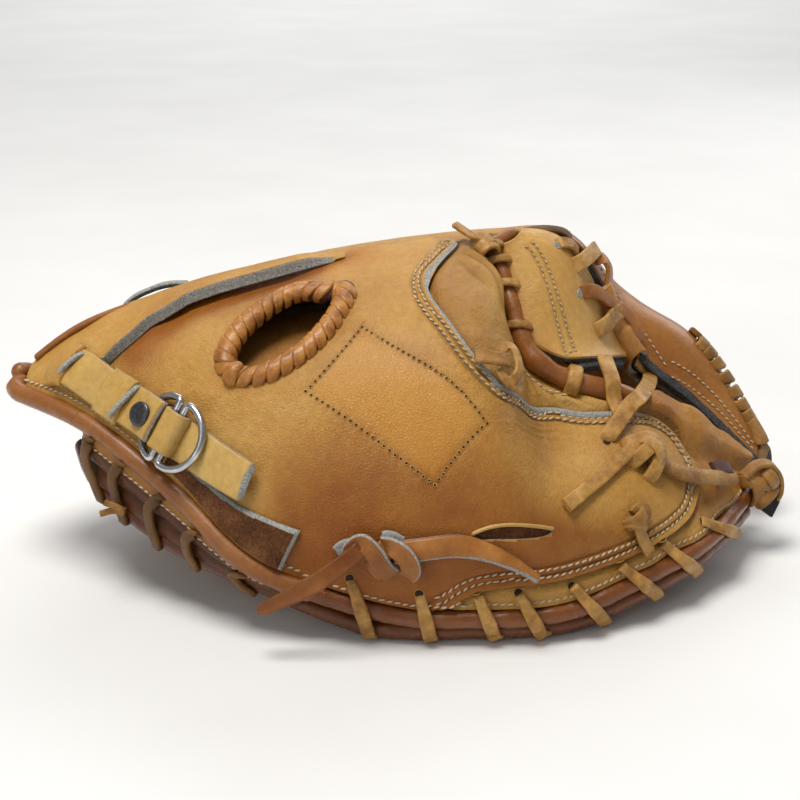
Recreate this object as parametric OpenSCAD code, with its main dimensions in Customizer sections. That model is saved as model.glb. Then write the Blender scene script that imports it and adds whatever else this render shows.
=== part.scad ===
// Catcher's mitt, lying half closed with the palm down.
// X runs from the wrist to the fingertips, Y from the finger half to the thumb half, Z is up.
// The back is two lofted lobes, each a row of curved ribs; everything else is set off from them.

/* [Overall size] */
// Length from the heel to the tip
mitt_length = 320; // [310:1:330]
// Width across the two halves as it lies
mitt_width = 180; // [174:1:186]
// Height of the ridge over the floor
mitt_height = 130; // [126:1:134]

/* [Leather] */
// Thickness of the back leather
back_t = 2.2; // [1.8:0.1:2.4]
// Thickness of the palm leather
palm_t = 2.6; // [2:0.1:2.8]
// Thickness of the soft under leather and linings
lining_t = 1.4; // [1:0.1:1.6]
// Gap left between leathers that lie on each other
ply_gap = 0.3; // [0.25:0.05:0.4]
// Greatest thickness of the palm padding
pad_t = 17; // [12:0.5:18]

/* [Welts and bindings] */
// Radius of the two rolled rim welts
welt_r = 3.5; // [3:0.1:3.6]
// Radius of the rolled heel binding
binding_r = 4; // [3.4:0.1:4.2]
// Radius of the rolled crotch edge beside the web
crotch_r = 4.3; // [3.6:0.1:4.5]

/* [Lacing] */
// Width of the flat lacing
lace_w = 5.2; // [4:0.1:6]
// Thickness of the flat lacing
lace_t = 1.5; // [1.2:0.1:1.7]
// Number of rim lace loops on each half
rim_loops = 8; // [6:1:9]
// Loops of lace wound round the finger hole
hole_loops = 20; // [14:1:21]
// Radius of the lace wound round the finger hole
hole_lace_r = 1.7; // [1.3:0.1:1.8]
// Loops of the whip lace on the thumb tip
whip_loops = 10; // [8:1:11]
// Radius of the whip lace
whip_lace_r = 1.2; // [1:0.1:1.4]

/* [Wrist strap] */
// Width of the wrist strap
strap_w = 18; // [15:0.5:19]
// Thickness of the wrist strap
strap_t = 2; // [1.6:0.1:2.2]
// Wire diameter of the two D-rings
ring_wire = 3; // [2.6:0.1:3.2]
// Width of the D-rings, between wire centres
ring_span = 25; // [23:0.5:27]
// Diameter of the snap cap
snap_d = 9.5; // [8:0.5:10]

/* [Hidden] */

tan_leather = "#c08a45";
brown_leather = "#8d4f26";
lace_leather = "#c9a05c";
suede = "#5a3a28";
soft_leather = "#cfa469";
felt = "#d9d2c0";

// The drawn sizes that the rows below are written at, and the shift that centres the part
drawn_size = [320, 180, 130];
centring = [-4.3, -8.5, 0];
stretch = [mitt_length / drawn_size.x, mitt_width / drawn_size.y, mitt_height / drawn_size.z];
last = 9;
floor_z = 0;

// Each row is one rib: start point, start angle and pull, end point, end angle and pull.
// Angles are measured in the plane across the mitt, from the direction of +Y upwards.
finger_rows = [
    [-154, -2, 72, 70, 5, -154, 8, 77, 10, 5],
    [-121, -26, 67, 66, 20, -128, 13, 94, 12, 20],
    [-84, -53, 49, 72, 38, -88, 16, 109, 10, 38],
    [-54, -72, 28, 84, 54, -46, 18, 119, 8, 54],
    [-6, -78, 12, 94, 62, -6, 20, 126, 6, 62],
    [28, -79, 10, 95, 64, 34, 18, 127, 8, 64],
    [62, -75, 11, 93, 46, 52, -9, 88, 38, 46],
    [95, -58, 18, 84, 30, 90, -11, 74, 32, 30],
    [122, -35, 22, 72, 21, 122, 6, 51, 28, 21],
    [145, 3, 25, 60, 9, 147, 21, 29, 10, 9]];
thumb_rows = [
    [-153, 11, 77, 0, 4, -150, 19, 72, -70, 4],
    [-128, 16, 94, 0, 18, -120, 46, 66, -70, 18],
    [-88, 19, 109, 0, 34, -84, 72, 46, -75, 34],
    [-46, 21, 119, 0, 48, -44, 92, 15, -90, 48],
    [-6, 23, 126, 0, 56, -6, 97, 11, -94, 56],
    [40, 25, 130, 2, 58, 38, 99, 10, -95, 58],
    [72, 27, 124, 25, 22, 84, 96, 14, -93, 60],
    [97, 29, 78, 68, 46, 116, 87, 22, -88, 50],
    [126, 31, 52, 70, 50, 141, 76, 24, -86, 34],
    [154, 33, 24, 72, 22, 161, 50, 14, -80, 16]];
finger_palm_rows = [
    [-131, 2, 50, 40, 4, -131, 10, 54, 10, 4],
    [-119, -22, 41, 55, 14, -121, 11, 60, 8, 14],
    [-90, -45, 27, 60, 26, -92, 14, 68, 6, 30],
    [-55, -61, 17, 65, 34, -50, 16, 75, 5, 40],
    [-8, -73, 3, 68, 38, -6, 18, 79, 5, 44],
    [26, -74, 3, 68, 40, 28, 19, 80, 5, 44],
    [60, -70, 3, 50, 38, 52, -2, 77, 75, 34],
    [94, -54, 10, 36, 26, 90, -3, 64, 74, 26],
    [119, -33, 14, 32, 18, 121, 12, 43, 60, 18],
    [143, 3, 17, 45, 8, 145, 20, 20, 20, 7]];
thumb_palm_rows = [
    [-131, 15, 54, -5, 4, -129, 23, 50, -40, 4],
    [-121, 16, 60, -5, 12, -117, 44, 40, -55, 12],
    [-92, 19, 68, -5, 26, -90, 70, 18, -62, 24],
    [-50, 22, 75, -5, 36, -50, 87, 3, -66, 32],
    [-6, 24, 79, -5, 40, -8, 92, 3, -68, 36],
    [32, 26, 80, -5, 40, 36, 94, 3, -68, 38],
    [68, 31, 104, 0, 30, 80, 90, 6, -70, 40],
    [96, 37, 66, 20, 18, 112, 81, 13, -75, 24],
    [125, 39, 41, 20, 14, 135, 70, 16, -75, 16],
    [149, 41, 15, 10, 5, 154, 47, 8, -60, 5]];

// Points, vectors and interpolation

function mix(a, b, t) = a + (b - a) * t;
function unit(v) = v / norm(v);
function ease(t) = let (c = min(max(t, 0), 1)) c * c * (3 - 2 * c);
function at(p) = [for (i = [0:2]) p[i] * stretch[i] + centring[i]];
function value(h, u, v) = is_function(h) ? h(u, v) : h;
function steps(a, b, n) = [for (i = [0:n]) mix(a, b, i / n)];

// A smooth pass through rows of numbers, whole numbers of t being the rows themselves
function through(rows, t) =
    let (n = len(rows) - 1, i = min(max(floor(t), 0), n - 1), f = t - i,
        b = rows[i], c = rows[i + 1],
        a = i > 0 ? rows[i - 1] : 2 * b - c,
        d = i < n - 1 ? rows[i + 2] : 2 * c - b)
    0.5 * (2 * b + (c - a) * f + (2 * a - 5 * b + 4 * c - d) * f ^ 2
        + (3 * b - a - 3 * c + d) * f ^ 3);
function smooth_path(points, n) =
    [for (i = [0:n]) through(points, i * (len(points) - 1) / n)];

// Ribs, the four lofted faces and points set off from them

function rib_start(r) = at([r[0], r[1], r[2]]);
function rib_end(r) = at([r[5], r[6], r[7]]);
function rib_pull(angle, pull) = pull * [0, cos(angle) * stretch.y, sin(angle) * stretch.z];
function rib(r, v) =
    let (w = 1 - v, p = rib_start(r), q = rib_end(r))
    w ^ 3 * p + 3 * w ^ 2 * v * (p + rib_pull(r[3], r[4]))
    + 3 * w * v ^ 2 * (q - rib_pull(r[8], r[9])) + v ^ 3 * q;

finger_back = function(u, v) rib(through(finger_rows, u), v);
thumb_back = function(u, v) rib(through(thumb_rows, u), v);
finger_palm = function(u, v) rib(through(finger_palm_rows, u), v);
thumb_palm = function(u, v) rib(through(thumb_palm_rows, u), v);
finger_heel = function(u, v) mix(finger_palm(u, 0), finger_back(u, 0), v);
thumb_heel = function(u, v) mix(thumb_back(u, 1), thumb_palm(u, 1), v);

// Share of a rib that covers a distance from its start or its end
function from_start(rows, u, d) = d / (3 * through(rows, u)[4]);
function from_end(rows, u, d) = 1 - d / (3 * through(rows, u)[9]);

function face_normal(f, u, v) =
    let (e = 0.02, u0 = max(u - e, 0), u1 = min(u + e, last), v0 = max(v - e, 0), v1 = min(v + e, 1))
    unit(cross(f(u1, v) - f(u0, v), f(u, v1) - f(u, v0)));
function off(f, u, v, h) = f(u, v) + face_normal(f, u, v) * h;

// Solids: a shell over part of a face, and a profile swept along a path

function strip_faces(a, b, c, d) = [[a, d, c], [a, c, b]];

// Lines across a face, each from one place [u, v] on it to another
function across(us, v_from, v_to) = [for (u = us) [[u, value(v_from, u, 0)], [u, value(v_to, u, 0)]]];

module shell(f, lines, nv, low, high) {
    nu = len(lines) - 1;
    count = (nu + 1) * (nv + 1);
    uv = [for (line = lines) for (j = [0:nv]) mix(line[0], line[1], j / nv)];
    outer = [for (p = uv) off(f, p[0], p[1], value(high, p[0], p[1]))];
    inner = [for (p = uv) off(f, p[0], p[1], value(low, p[0], p[1]))];
    id = function(i, j) i * (nv + 1) + j;
    over = [for (i = [0:nu - 1]) for (j = [0:nv - 1])
        each strip_faces(id(i, j), id(i + 1, j), id(i + 1, j + 1), id(i, j + 1))];
    under = [for (t = over) [for (k = [2:-1:0]) t[k] + count]];
    v_edges = [for (i = [0:nu - 1])
        each concat(strip_faces(id(i, 0), id(i, 0) + count, id(i + 1, 0) + count, id(i + 1, 0)),
            strip_faces(id(i, nv), id(i + 1, nv), id(i + 1, nv) + count, id(i, nv) + count))];
    u_edges = [for (j = [0:nv - 1])
        each concat(strip_faces(id(0, j), id(0, j + 1), id(0, j + 1) + count, id(0, j) + count),
            strip_faces(id(nu, j), id(nu, j) + count, id(nu, j + 1) + count, id(nu, j + 1)))];
    polyhedron(concat(outer, inner), concat(over, under, v_edges, u_edges));
}

function round_profile(r, sides, turn = 0) =
    [for (k = [0:sides - 1]) let (a = 360 * (k + turn) / sides) r * [cos(a), sin(a)]];
function flat_profile(w, t) = [[w / 2, 0], [w / 2, t], [-w / 2, t], [-w / 2, 0]];

function path_tangent(path, i) =
    unit(path[min(i + 1, len(path) - 1)] - path[max(i - 1, 0)]);
function sweep_ring(path, normals, i, profile) =
    let (t = path_tangent(path, i), n = unit(normals[i] - t * (normals[i] * t)), b = cross(n, t))
    [for (p = profile) path[i] + b * p[0] + n * p[1]];

// The ends are closed flat; with_floor keeps every point at or above the floor
module sweep(path, normals, profile, with_floor = false) {
    m = len(profile);
    n = len(path);
    loose = [for (i = [0:n - 1]) each sweep_ring(path, normals, i, profile)];
    points = with_floor ? [for (p = loose) [p.x, p.y, max(p.z, floor_z)]] : loose;
    walls = [for (i = [0:n - 2]) for (j = [0:m - 1])
        each strip_faces(i * m + j, i * m + (j + 1) % m, (i + 1) * m + (j + 1) % m, (i + 1) * m + j)];
    caps = concat([for (j = [1:m - 2]) [0, j, j + 1]],
        [for (j = [1:m - 2]) (n - 1) * m * [1, 1, 1] + [0, j + 1, j]]);
    polyhedron(points, concat(walls, caps));
}

// A lace that lies along a face, through stops of [u, v, height over the face]
module face_lace(f, stops, w = lace_w, t = lace_t, n = 12) {
    path = smooth_path(stops, n);
    sweep([for (p = path) off(f, p[0], p[1], p[2])],
        [for (p = path) face_normal(f, p[0], p[1])], flat_profile(w, t));
}

// A welt along one edge of a face, pushed off it by out
module edge_roll(f, v, u_from, u_to, n, r, sides, out) {
    us = steps(u_from, u_to, n);
    sweep([for (u = us) off(f, u, v, out)], [for (u = us) face_normal(f, u, v)], round_profile(r, sides));
}

// The welt that the mitt lies on, its lowest side turned level with the floor
module resting_welt(f, v) {
    us = steps(0.2, last, 30);
    sweep([for (u = us) f(u, v)], [for (u = us) [0, 0, 1]], round_profile(welt_r, 8, 0.5), true);
}

// Finger half: back panel, cut-out at the crotch and finger hole

crotch_gap = crotch_r + 0.8;
welt_gap = welt_r + 1.2;
fan_from = 4.05;
crotch_from = 4.4;
crotch_to = 7.4;
// Raw edge of the back panel round the crotch, as [u, share of the rib]
cut_out = [[4.4, 0.74], [4.7, 0.63], [5, 0.565], [5.25, 0.585], [5.6, 0.7], [6.15, 0.84], [6.5, 0.862], [6.9, 0.885], [7.4, 0.95]];
function cut_out_v(u) = lookup(u, cut_out);
function rim_r(u) = u < 3.4 ? binding_r + 1.4 : welt_gap;
// The roll starts beside the ribs near its upper end, so the leather stays further off there
function crotch_clear(u) = crotch_gap + 8 * (1 - ease(abs(u - 5.2) / 0.7));
finger_v_low = function(u, v) from_start(finger_rows, u, rim_r(u));
finger_v_high = function(u, v)
    let (free = from_end(finger_rows, u, u < crotch_from ? 1.2 : crotch_gap))
    u > crotch_from && u < crotch_to ? min(cut_out_v(u), free) : free;

// Ring of the finger hole on the back, as an oval turned in the face's own shares
hole_at = [3.1, 0.695];
hole_along = [0.48, 0.172];
hole_across = [-0.245, 0.078];
function hole_uv(a, grow = 1) = hole_at + grow * (hole_along * cos(a) + hole_across * sin(a));
function hole_point(a, h, grow = 1) = let (p = hole_uv(a, grow)) off(finger_back, p[0], p[1], h);

module hole_cutter() {
    m = 24;
    rim = [for (h = [12, -12]) for (k = [0:m - 1]) hole_point(360 * k / m, h, 0.9)];
    walls = [for (k = [0:m - 1])
        each strip_faces(k, k + m, (k + 1) % m + m, (k + 1) % m)];
    caps = concat([for (k = [1:m - 2]) [0, k + 1, k]], [for (k = [1:m - 2]) m * [1, 1, 1] + [0, k, k + 1]]);
    polyhedron(rim, concat(walls, caps));
}

module finger_back_panel() {
    lines = concat(across(steps(0.15, fan_from, 14), finger_v_low, finger_v_high),
        [for (k = [1:3]) [[mix(fan_from, crotch_from, k / 4), finger_v_low(crotch_from, 0)],
            [crotch_from, mix(finger_v_high(fan_from, 0), cut_out[0][1], k / 4)]]],
        across([for (u = [crotch_from, 4.6, 4.85, 5.1, 5.35, 5.6, 6, 6.4, 6.8, 7.1]) u], finger_v_low, finger_v_high),
        across(steps(crotch_to, 8.8, 4), finger_v_low, finger_v_high));
    color(tan_leather) minkowski() {
        difference() {
            shell(finger_back, lines, 10, -back_t, 0);
            hole_cutter();
        }
    }
}

// The under leather lies lower where the lines of the panel fan out
function under_drop(u) = back_t + 0.8 + 3 * (1 - ease((u - 4.3) / 0.45));

module finger_under_leather() {
    color(soft_leather)
        shell(finger_back, across(steps(4.15, 8.6, 16), function(u, v) from_start(finger_rows, u, welt_gap) + 0.3,
            function(u, v) from_end(finger_rows, u, crotch_clear(u))), 7,
            function(u, v) -under_drop(u) - lining_t, function(u, v) -under_drop(u));
}

stall_drop = 8.4;

module finger_stall_lining() {
    color(soft_leather)
        shell(finger_back, across(steps(3.9, 7, 8), 0.36, 0.78), 5, -stall_drop - lining_t, -stall_drop);
}

// Finger half: palm side and padding

function heel_ease(u) = 3 * (1 - ease((u - 0.6) / 2));
palm_v_low = function(u, v) from_start(finger_palm_rows, u, welt_gap + 0.4 + heel_ease(u));
palm_v_high = function(u, v) from_end(finger_palm_rows, u, u < 5 ? 0.5 : crotch_gap - 1);
pad_gap = 1.5;
pad_base = palm_t + pad_gap;
lining_gap = 2.6;
pad_crown = function(u, v)
    pad_base + 0.8 + pad_t * ease((v - 0.2) / 0.4) * ease((8.4 - u) / 2.2) * ease((u - 0.8) / 1.4)
    * (1 - 0.6 * ease((u - 4.6) / 1.4)) * (1 - 0.9 * ease((u - 4.9) / 0.7) * ease((v - 0.4) / 0.45));

module finger_palm_leather() {
    color(tan_leather)
        shell(finger_palm, across(steps(0.6, 8.3, 17), palm_v_low, palm_v_high), 8, 0, palm_t);
}

module finger_pad() {
    color(felt)
        shell(finger_palm, across(steps(1.3, 8, 13), 0.24, function(u, v) u < 5.2 ? 0.96 : 0.86), 6, pad_base, pad_crown);
}

module hand_lining() {
    color(soft_leather)
        shell(finger_palm, across(steps(2.45, 5, 7), 0.44, 0.94), 5,
            function(u, v) pad_crown(u, v) + lining_gap, function(u, v) pad_crown(u, v) + lining_gap + lining_t);
}

module palm_crease() {
    crease = function(u, v) mix(finger_palm(u, 1), thumb_palm(u, 0), v);
    color(tan_leather) shell(crease, across(steps(0.6, 5, 9), 0.14, 0.86), 2, 0, palm_t);
}

// Rolled edges of the finger half

module finger_back_welt() {
    color(brown_leather) edge_roll(finger_back, 0, 3.48, last, 24, welt_r, 8, -1);
}

module finger_palm_welt() {
    color(brown_leather) resting_welt(finger_palm, 0);
}

module crotch_roll() {
    color(brown_leather) edge_roll(finger_back, 1, 5.05, last, 20, crotch_r, 8, -1.5);
}

module heel_binding() {
    color(brown_leather) edge_roll(finger_back, 0, 0.05, 3.4, 18, binding_r, 8, -0.5);
}

module heel_gusset() {
    low = function(u, v) (welt_r + 2.2) / norm(finger_back(u, 0) - finger_palm(u, 0));
    high = function(u, v) 1 - (binding_r + 1.6) / norm(finger_back(u, 0) - finger_palm(u, 0));
    color(brown_leather) shell(finger_heel, across(steps(1.1, 3.1, 9), low, high), 2, 0, back_t);
}

// Lace loops over the rim; side is 1 on the finger half and -1 on the thumb half

rim_first = 3.73;
rim_last = 7.83;
rim_slant = 3.5;
lace_lift = 1.3;

module rim_loop(back, v_back, palm, v_palm, u, v_hole, side, r_back, r_palm, down = 0) {
    top = off(back, u, v_back, -1);
    low = palm(u, v_palm);
    along = unit(back(min(u + 0.05, last), v_back) - back(u - 0.05, v_back));
    up = unit(top - low);
    out = side * unit(cross(along, up));
    over = unit(0.55 * out + 0.83 * up);
    under = unit(out - 0.4 * up);
    hole = off(back, u, v_hole, lace_lift);
    start = down > 0 ? [] : [hole - along * rim_slant, top + (r_back + lace_lift) * over - along * rim_slant / 2];
    start_n = down > 0 ? [] : [face_normal(back, u, v_hole), over];
    tuck = unit(out - down * up);
    path = concat(start, [top + (r_back + lace_lift) * tuck, low + (r_palm + lace_lift) * out + along * rim_slant / 2,
        low + (r_palm + lace_lift) * under + along * rim_slant * 0.6]);
    sweep(path, concat(start_n, [tuck, out, under]), flat_profile(lace_w, lace_t), true);
}

module rim_laces_finger() {
    color(lace_leather) for (u = steps(rim_first, rim_last, rim_loops - 1))
        rim_loop(finger_back, 0, finger_palm, 0, u, from_start(finger_rows, u, welt_gap + 6), 1, welt_r, welt_r);
}

module heel_laces() {
    color(lace_leather) for (u = steps(1.25, 3.1, 4))
        rim_loop(finger_back, 0, finger_palm, 0, u, 0, 1, binding_r, welt_r, 0.7);
}

// Lace wound round the finger hole, as one tube that climbs round the edge of the leather

hole_wind_r = 2.9;
loop_points = 12;

function least_gap(path, d, skip) =
    min([for (i = [0:len(path) - 1 - skip]) for (j = [i + skip:len(path) - 1]) norm(path[i] - path[j])]) - d;

// Distance round the ring of the hole against its angle, so that the loops are evenly spaced
function hole_lengths(angles, i = 0, so_far = 0) = i == len(angles) ? []
    : let (d = i == 0 ? 0 : norm(hole_point(angles[i], 0) - hole_point(angles[i - 1], 0)))
    concat([[so_far + d, angles[i]]], hole_lengths(angles, i + 1, so_far + d));

function hole_winding_points() =
    let (count = hole_loops * loop_points, table = hole_lengths(steps(0, 360, 72)),
        course = table[72][0] * (1 - 1 / hole_loops))
    [for (i = [0:count])
        let (a = lookup(course * i / count, table), turn = 360 * i / loop_points,
            c = hole_point(a, -back_t / 2), t = unit(hole_point(a + 2, 0) - hole_point(a - 2, 0)),
            p = hole_uv(a), n = face_normal(finger_back, p[0], p[1]), b = cross(n, t))
        c + hole_wind_r * (cos(turn) * n + sin(turn) * b)];

module wound_lace(points, r, name) {
    echo(str(name, " least gap to itself, mm: ", least_gap(points, 2 * r, ceil(loop_points * 5 / 8))));
    first = points[0] + 2 * r * unit(points[0] - points[1]);
    final = points[len(points) - 1] + 2 * r * unit(points[len(points) - 1] - points[len(points) - 2]);
    path = concat([first], points, [final]);
    n = len(path);
    bends = [for (i = [0:n - 1])
        let (k = min(max(i, 1), n - 2)) 2 * path[k] - path[k - 1] - path[k + 1]];
    sweep(path, [for (i = [0:n - 1]) bends[min(max(i, 2), n - 3)]], round_profile(r, 6));
}

module hole_lace_winding() {
    color(lace_leather) wound_lace(hole_winding_points(), hole_lace_r, "finger hole winding");
}

// Wrist flap, strap, rings and snap

flap_edge = [[0.5, 0.6], [1.2, 0.6], [1.3, 0.55], [1.55, 0.74], [1.8, 0.85], [1.95, 0.91], [2.1, 0.93]];
flap_t = 2.6;

module wrist_flap() {
    color(tan_leather)
        shell(finger_back, across(steps(0.5, 2.1, 10), function(u, v) lookup(u, flap_edge),
            function(u, v) from_end(finger_rows, u, 1)), 4, ply_gap, ply_gap + flap_t);
}

// The strap weaves under the panel between two slits and rises to the rings
strap_stops = [[0.72, 0.48, 3.4], [0.95, 0.42, 3.6], [1.15, 0.345, 1.6], [1.26, 0.315, -4.6], [1.39, 0.288, -4.6],
    [1.5, 0.266, 0], [1.67, 0.25, 4.6], [1.86, 0.24, 7.2]];
module wrist_strap() {
    color(tan_leather) face_lace(finger_back, strap_stops, strap_w, strap_t, 18);
}

ring_at = [2.04, 0.225];
ring_lift = 6.4;
ring_origin = off(finger_back, ring_at[0], ring_at[1], ring_lift);
ring_n = face_normal(finger_back, ring_at[0], ring_at[1]);
strap_course = finger_back(2.5, 0.215) - finger_back(1.7, 0.25);
ring_x = unit(strap_course - ring_n * (strap_course * ring_n));
ring_y = cross(ring_n, ring_x);
bar_offset = ring_wire / 2 + 0.25;
bore_play = 0.35;
ring_leg = 1;
outer_tilt = 5.5;
inner_tilt = 19;

module at_rings() {
    multmatrix([for (i = [0:2]) [ring_x[i], ring_y[i], ring_n[i], ring_origin[i]]]) children();
}

// A D-ring with its bar on the local Y axis and its bow towards +X
module d_ring() {
    $fn = 32;
    half = ring_span / 2;
    rotate([90, 0, 0]) cylinder(d = ring_wire, h = ring_span, center = true);
    for (s = [-1, 1]) translate([0, s * half, 0]) {
        sphere(d = ring_wire);
        rotate([0, 90, 0]) cylinder(d = ring_wire, h = ring_leg);
    }
    translate([ring_leg, 0, 0]) rotate([0, 0, -90])
        rotate_extrude(angle = 180) translate([half, 0]) circle(d = ring_wire);
}

module d_ring_outer() {
    color("silver") at_rings() translate([bar_offset, 0, 0]) rotate([0, -outer_tilt, 0]) d_ring();
}

module d_ring_inner() {
    color("silver") at_rings() translate([-bar_offset, 0, 0]) rotate([0, inner_tilt, 180]) d_ring();
}

// The end of the strap folded round the two ring bars
module strap_loop() {
    $fn = 32;
    bore = ring_wire / 2 + bore_play;
    color(tan_leather) at_rings() rotate([90, 0, 0]) linear_extrude(strap_w, center = true) difference() {
        for (s = [-1, 1]) translate([s * bar_offset, 0]) circle(bore + strap_t);
        for (s = [-1, 1]) translate([s * bar_offset, 0]) circle(bore);
        translate([-bar_offset, -bore]) square([2 * bar_offset, 2 * bore]);
    }
}

module strap_snap() {
    $fn = 48;
    color("#1c1a19") at_rings() translate([-13, 0, 3.6]) rotate([0, -8, 0]) {
        cylinder(d = snap_d, h = 1.2);
        translate([0, 0, 1.2]) cylinder(d1 = snap_d - 0.6, d2 = snap_d - 3, h = 0.7);
    }
}

module suede_patch() {
    color(suede)
        shell(finger_back, across(steps(1.9, 3.36, 8), function(u, v) finger_v_low(u, 0) + 0.015,
            function(u, v) 0.14 + 0.02 * (u - 2.4)), 3, ply_gap, ply_gap + strap_t);
}

module strap_tail() {
    color(tan_leather)
        face_lace(finger_back, [[2.22, 0.21, 2.7], [2.48, 0.21, 2.7], [2.72, 0.208, 2.7], [2.97, 0.203, 2.9]],
            strap_w, strap_t, 8);
}

// Web between the crotch roll and the thumb half

function web_left(t) = finger_back(mix(5.1, 6.3, t), 1) + [3, 4, 4];
function web_right(t) = thumb_back(mix(5.3, 7, t), 0) + [-5, -4, 0];
web_t = 3.4;
web_face = function(u, v)
    mix(web_left(u / last), web_right(u / last), v) + [2, -4, 1.5] * 4 * v * (1 - v);

module web_panel() {
    color(tan_leather) shell(web_face, across(steps(0, last - 1.2, 8), 0, 1), 6, 0, web_t);
}

module web_fold() {
    vs = steps(0.04, 0.86, 6);
    color(suede) sweep([for (v = vs) off(web_face, last, v, 1.5)], [for (v = vs) face_normal(web_face, last, v)],
        round_profile(3.4, 8));
}

// A lace loop over a rolled edge, from one side of it to the other
module edge_loop(f, u, v, r, out, lean, from_angle, to_angle) {
    c = off(f, u, v, out);
    along = unit(f(min(u + 0.05, last), v) - f(max(u - 0.05, 0), v));
    n = face_normal(f, u, v);
    b = cross(along, n);
    angles = steps(from_angle, to_angle, 5);
    spokes = [for (a = angles) cos(a) * n + sin(a) * b];
    path = [for (k = [0:5]) c + (r + lace_lift) * spokes[k] + along * lean * (k / 5 - 0.5)];
    sweep(path, spokes, flat_profile(lace_w, lace_t));
}

module web_laces_finger() {
    color(lace_leather) for (u = [5.2, 5.42, 5.65, 5.9, 6.25])
        edge_loop(finger_back, u, 1, crotch_r, -1.5, 4, -75, 75);
}

module web_laces_thumb() {
    color(lace_leather) for (u = [6.5, 6.75, 7, 7.25])
        edge_loop(thumb_back, u, 0, tunnel_r, 0, 4, -75, 75);
}

module cross_laces() {
    hole_a = off(finger_back, 6.9, 0.8, 0.6);
    hole_b = off(finger_back, 6.68, 0.71, 0.6);
    places = [6.78, 7.1];
    over_roll = [for (u = places) off(finger_back, u, 1, crotch_r + 0.6)];
    ups = [for (u = places) face_normal(finger_back, u, 1)];
    n = face_normal(finger_back, 6.8, 0.8);
    color(lace_leather) {
        sweep([over_roll[0] + [0, 9, 4], over_roll[0], hole_a], [ups[0], ups[0], n], flat_profile(lace_w, lace_t));
        sweep([over_roll[1] + [4, 13, 3], over_roll[1], hole_a + 2.2 * n, hole_b],
            [ups[1], ups[1], n, n], flat_profile(lace_w, lace_t));
    }
}

// Knots: a loop of lace tied over and under itself, lying on a face

knot_points = 30;
module knot_on(f, u, v, lift, size, r) {
    o = off(f, u, v, lift);
    n = face_normal(f, u, v);
    x = unit(f(u + 0.05, v) - f(u - 0.05, v));
    knot_at(o, x, n, size, r);
}

module knot_at(o, x, n, size, r) {
    y = cross(n, x);
    path = [for (a = steps(0, 345, knot_points))
        let (reach = size * (0.62 + 0.38 * cos(3 * a)))
        o + reach * (cos(2 * a) * x + 0.8 * sin(2 * a) * y) + (r + 0.35) * sin(3 * a) * n];
    sweep(path, [for (p = path) n], round_profile(r, 5));
}

// A lace through points in space, its flat side turned to face
module free_lace(points, face, w = lace_w, t = lace_t, n = 10) {
    path = smooth_path([for (p = points) at(p)], n);
    sweep(path, [for (p = path) face], flat_profile(w, t));
}

module web_knot() {
    color(lace_leather) {
        knot_on(finger_back, 7.05, 0.66, 4.4, 8, 1.8);
        face_lace(finger_back, [[6.9, 0.5, 0.5], [6.5, 0.47, 0.6], [6.05, 0.37, 0.6]], 7, lace_t, 6);
        face_lace(finger_back, [[7.3, 0.57, 0.5], [7.7, 0.47, 0.6], [8.1, 0.43, 0.6], [8.4, 0.46, 0.6]], 5, lace_t, 6);
    }
}

module tip_knot() {
    color(lace_leather) knot_at(at([158, 13, 24]), unit([0.2, 1, 0.1]), unit([0.8, -0.5, 0.3]), 7.5, 1.8);
}

module small_knot() {
    color(lace_leather) {
        knot_on(finger_back, 6.83, 0.33, 3.6, 5, 1.4);
        face_lace(finger_back, [[6.9, 0.24, 0.5], [6.98, 0.17, 0.6], [7.04, 0.125, 0.6]], 4.4, lace_t, 4);
    }
}

module front_thong() {
    color(lace_leather) {
        knot_on(finger_back, 3.98, 0.115, 4.9, 8, 2);
        face_lace(finger_back, [[4.33, 0.14, 0.6], [4.7, 0.16, 0.6], [5.2, 0.15, 0.8], [5.6, 0.115, 3.4]], 7, lace_t, 8);
        free_lace([[-17, -81, 30], [-34, -82, 24], [-52, -83, 17]], [0, -1, 0.2], 6, lace_t, 6);
    }
}

module ridge_knot() {
    color(lace_leather) {
        face_lace(finger_back, [[4.5, 0.97, 0.5], [4.7, 0.95, 1.8], [4.95, 0.9, 0.6]], lace_w, lace_t, 5);
        face_lace(finger_back, [[4.62, 0.91, 2.6], [4.76, 0.95, 3.7], [4.84, 0.97, 2.6]], lace_w, lace_t, 5);
    }
}

// Thumb half

tunnel_r = 4.6;
tunnel_from = 6.42;
tunnel_to = 7.2;
tip_from = 5.75;
tip_t = 3;
thumb_v_low = function(u, v)
    from_start(thumb_rows, u, u > tunnel_from - 0.22 && u < tunnel_to + 0.22 ? tunnel_r + 2.4 : 1);
thumb_v_high = function(u, v) from_end(thumb_rows, u, rim_r(u) + 0.6);

module thumb_back_panel() {
    color(tan_leather)
        shell(thumb_back, across(steps(0.15, tip_from - 0.04, 15), thumb_v_low, thumb_v_high), 9, -back_t, 0);
}

module thumb_tip_panel() {
    us = concat(steps(tip_from, tunnel_from - 0.24, 2), steps(tunnel_from - 0.2, tunnel_to + 0.2, 5),
        steps(tunnel_to + 0.24, 8.9, 6));
    color(brown_leather)
        shell(thumb_back, across(us, thumb_v_low, thumb_v_high), 8, back_t / 3 - tip_t, back_t / 3);
}

module thumb_tunnel() {
    color(brown_leather) edge_roll(thumb_back, 0, tunnel_from, tunnel_to, 6, tunnel_r, 8, 0);
}

module thumb_stall_lining() {
    color(soft_leather)
        shell(thumb_back, across(steps(2.4, 5.6, 8), 0.2, 0.5), 4, -stall_drop - lining_t, -stall_drop);
}

thumb_palm_low = function(u, v) from_start(thumb_palm_rows, u, u < 5 ? 0.5 : 1.5);
thumb_palm_high = function(u, v) from_end(thumb_palm_rows, u, welt_gap + heel_ease(u));
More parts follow.
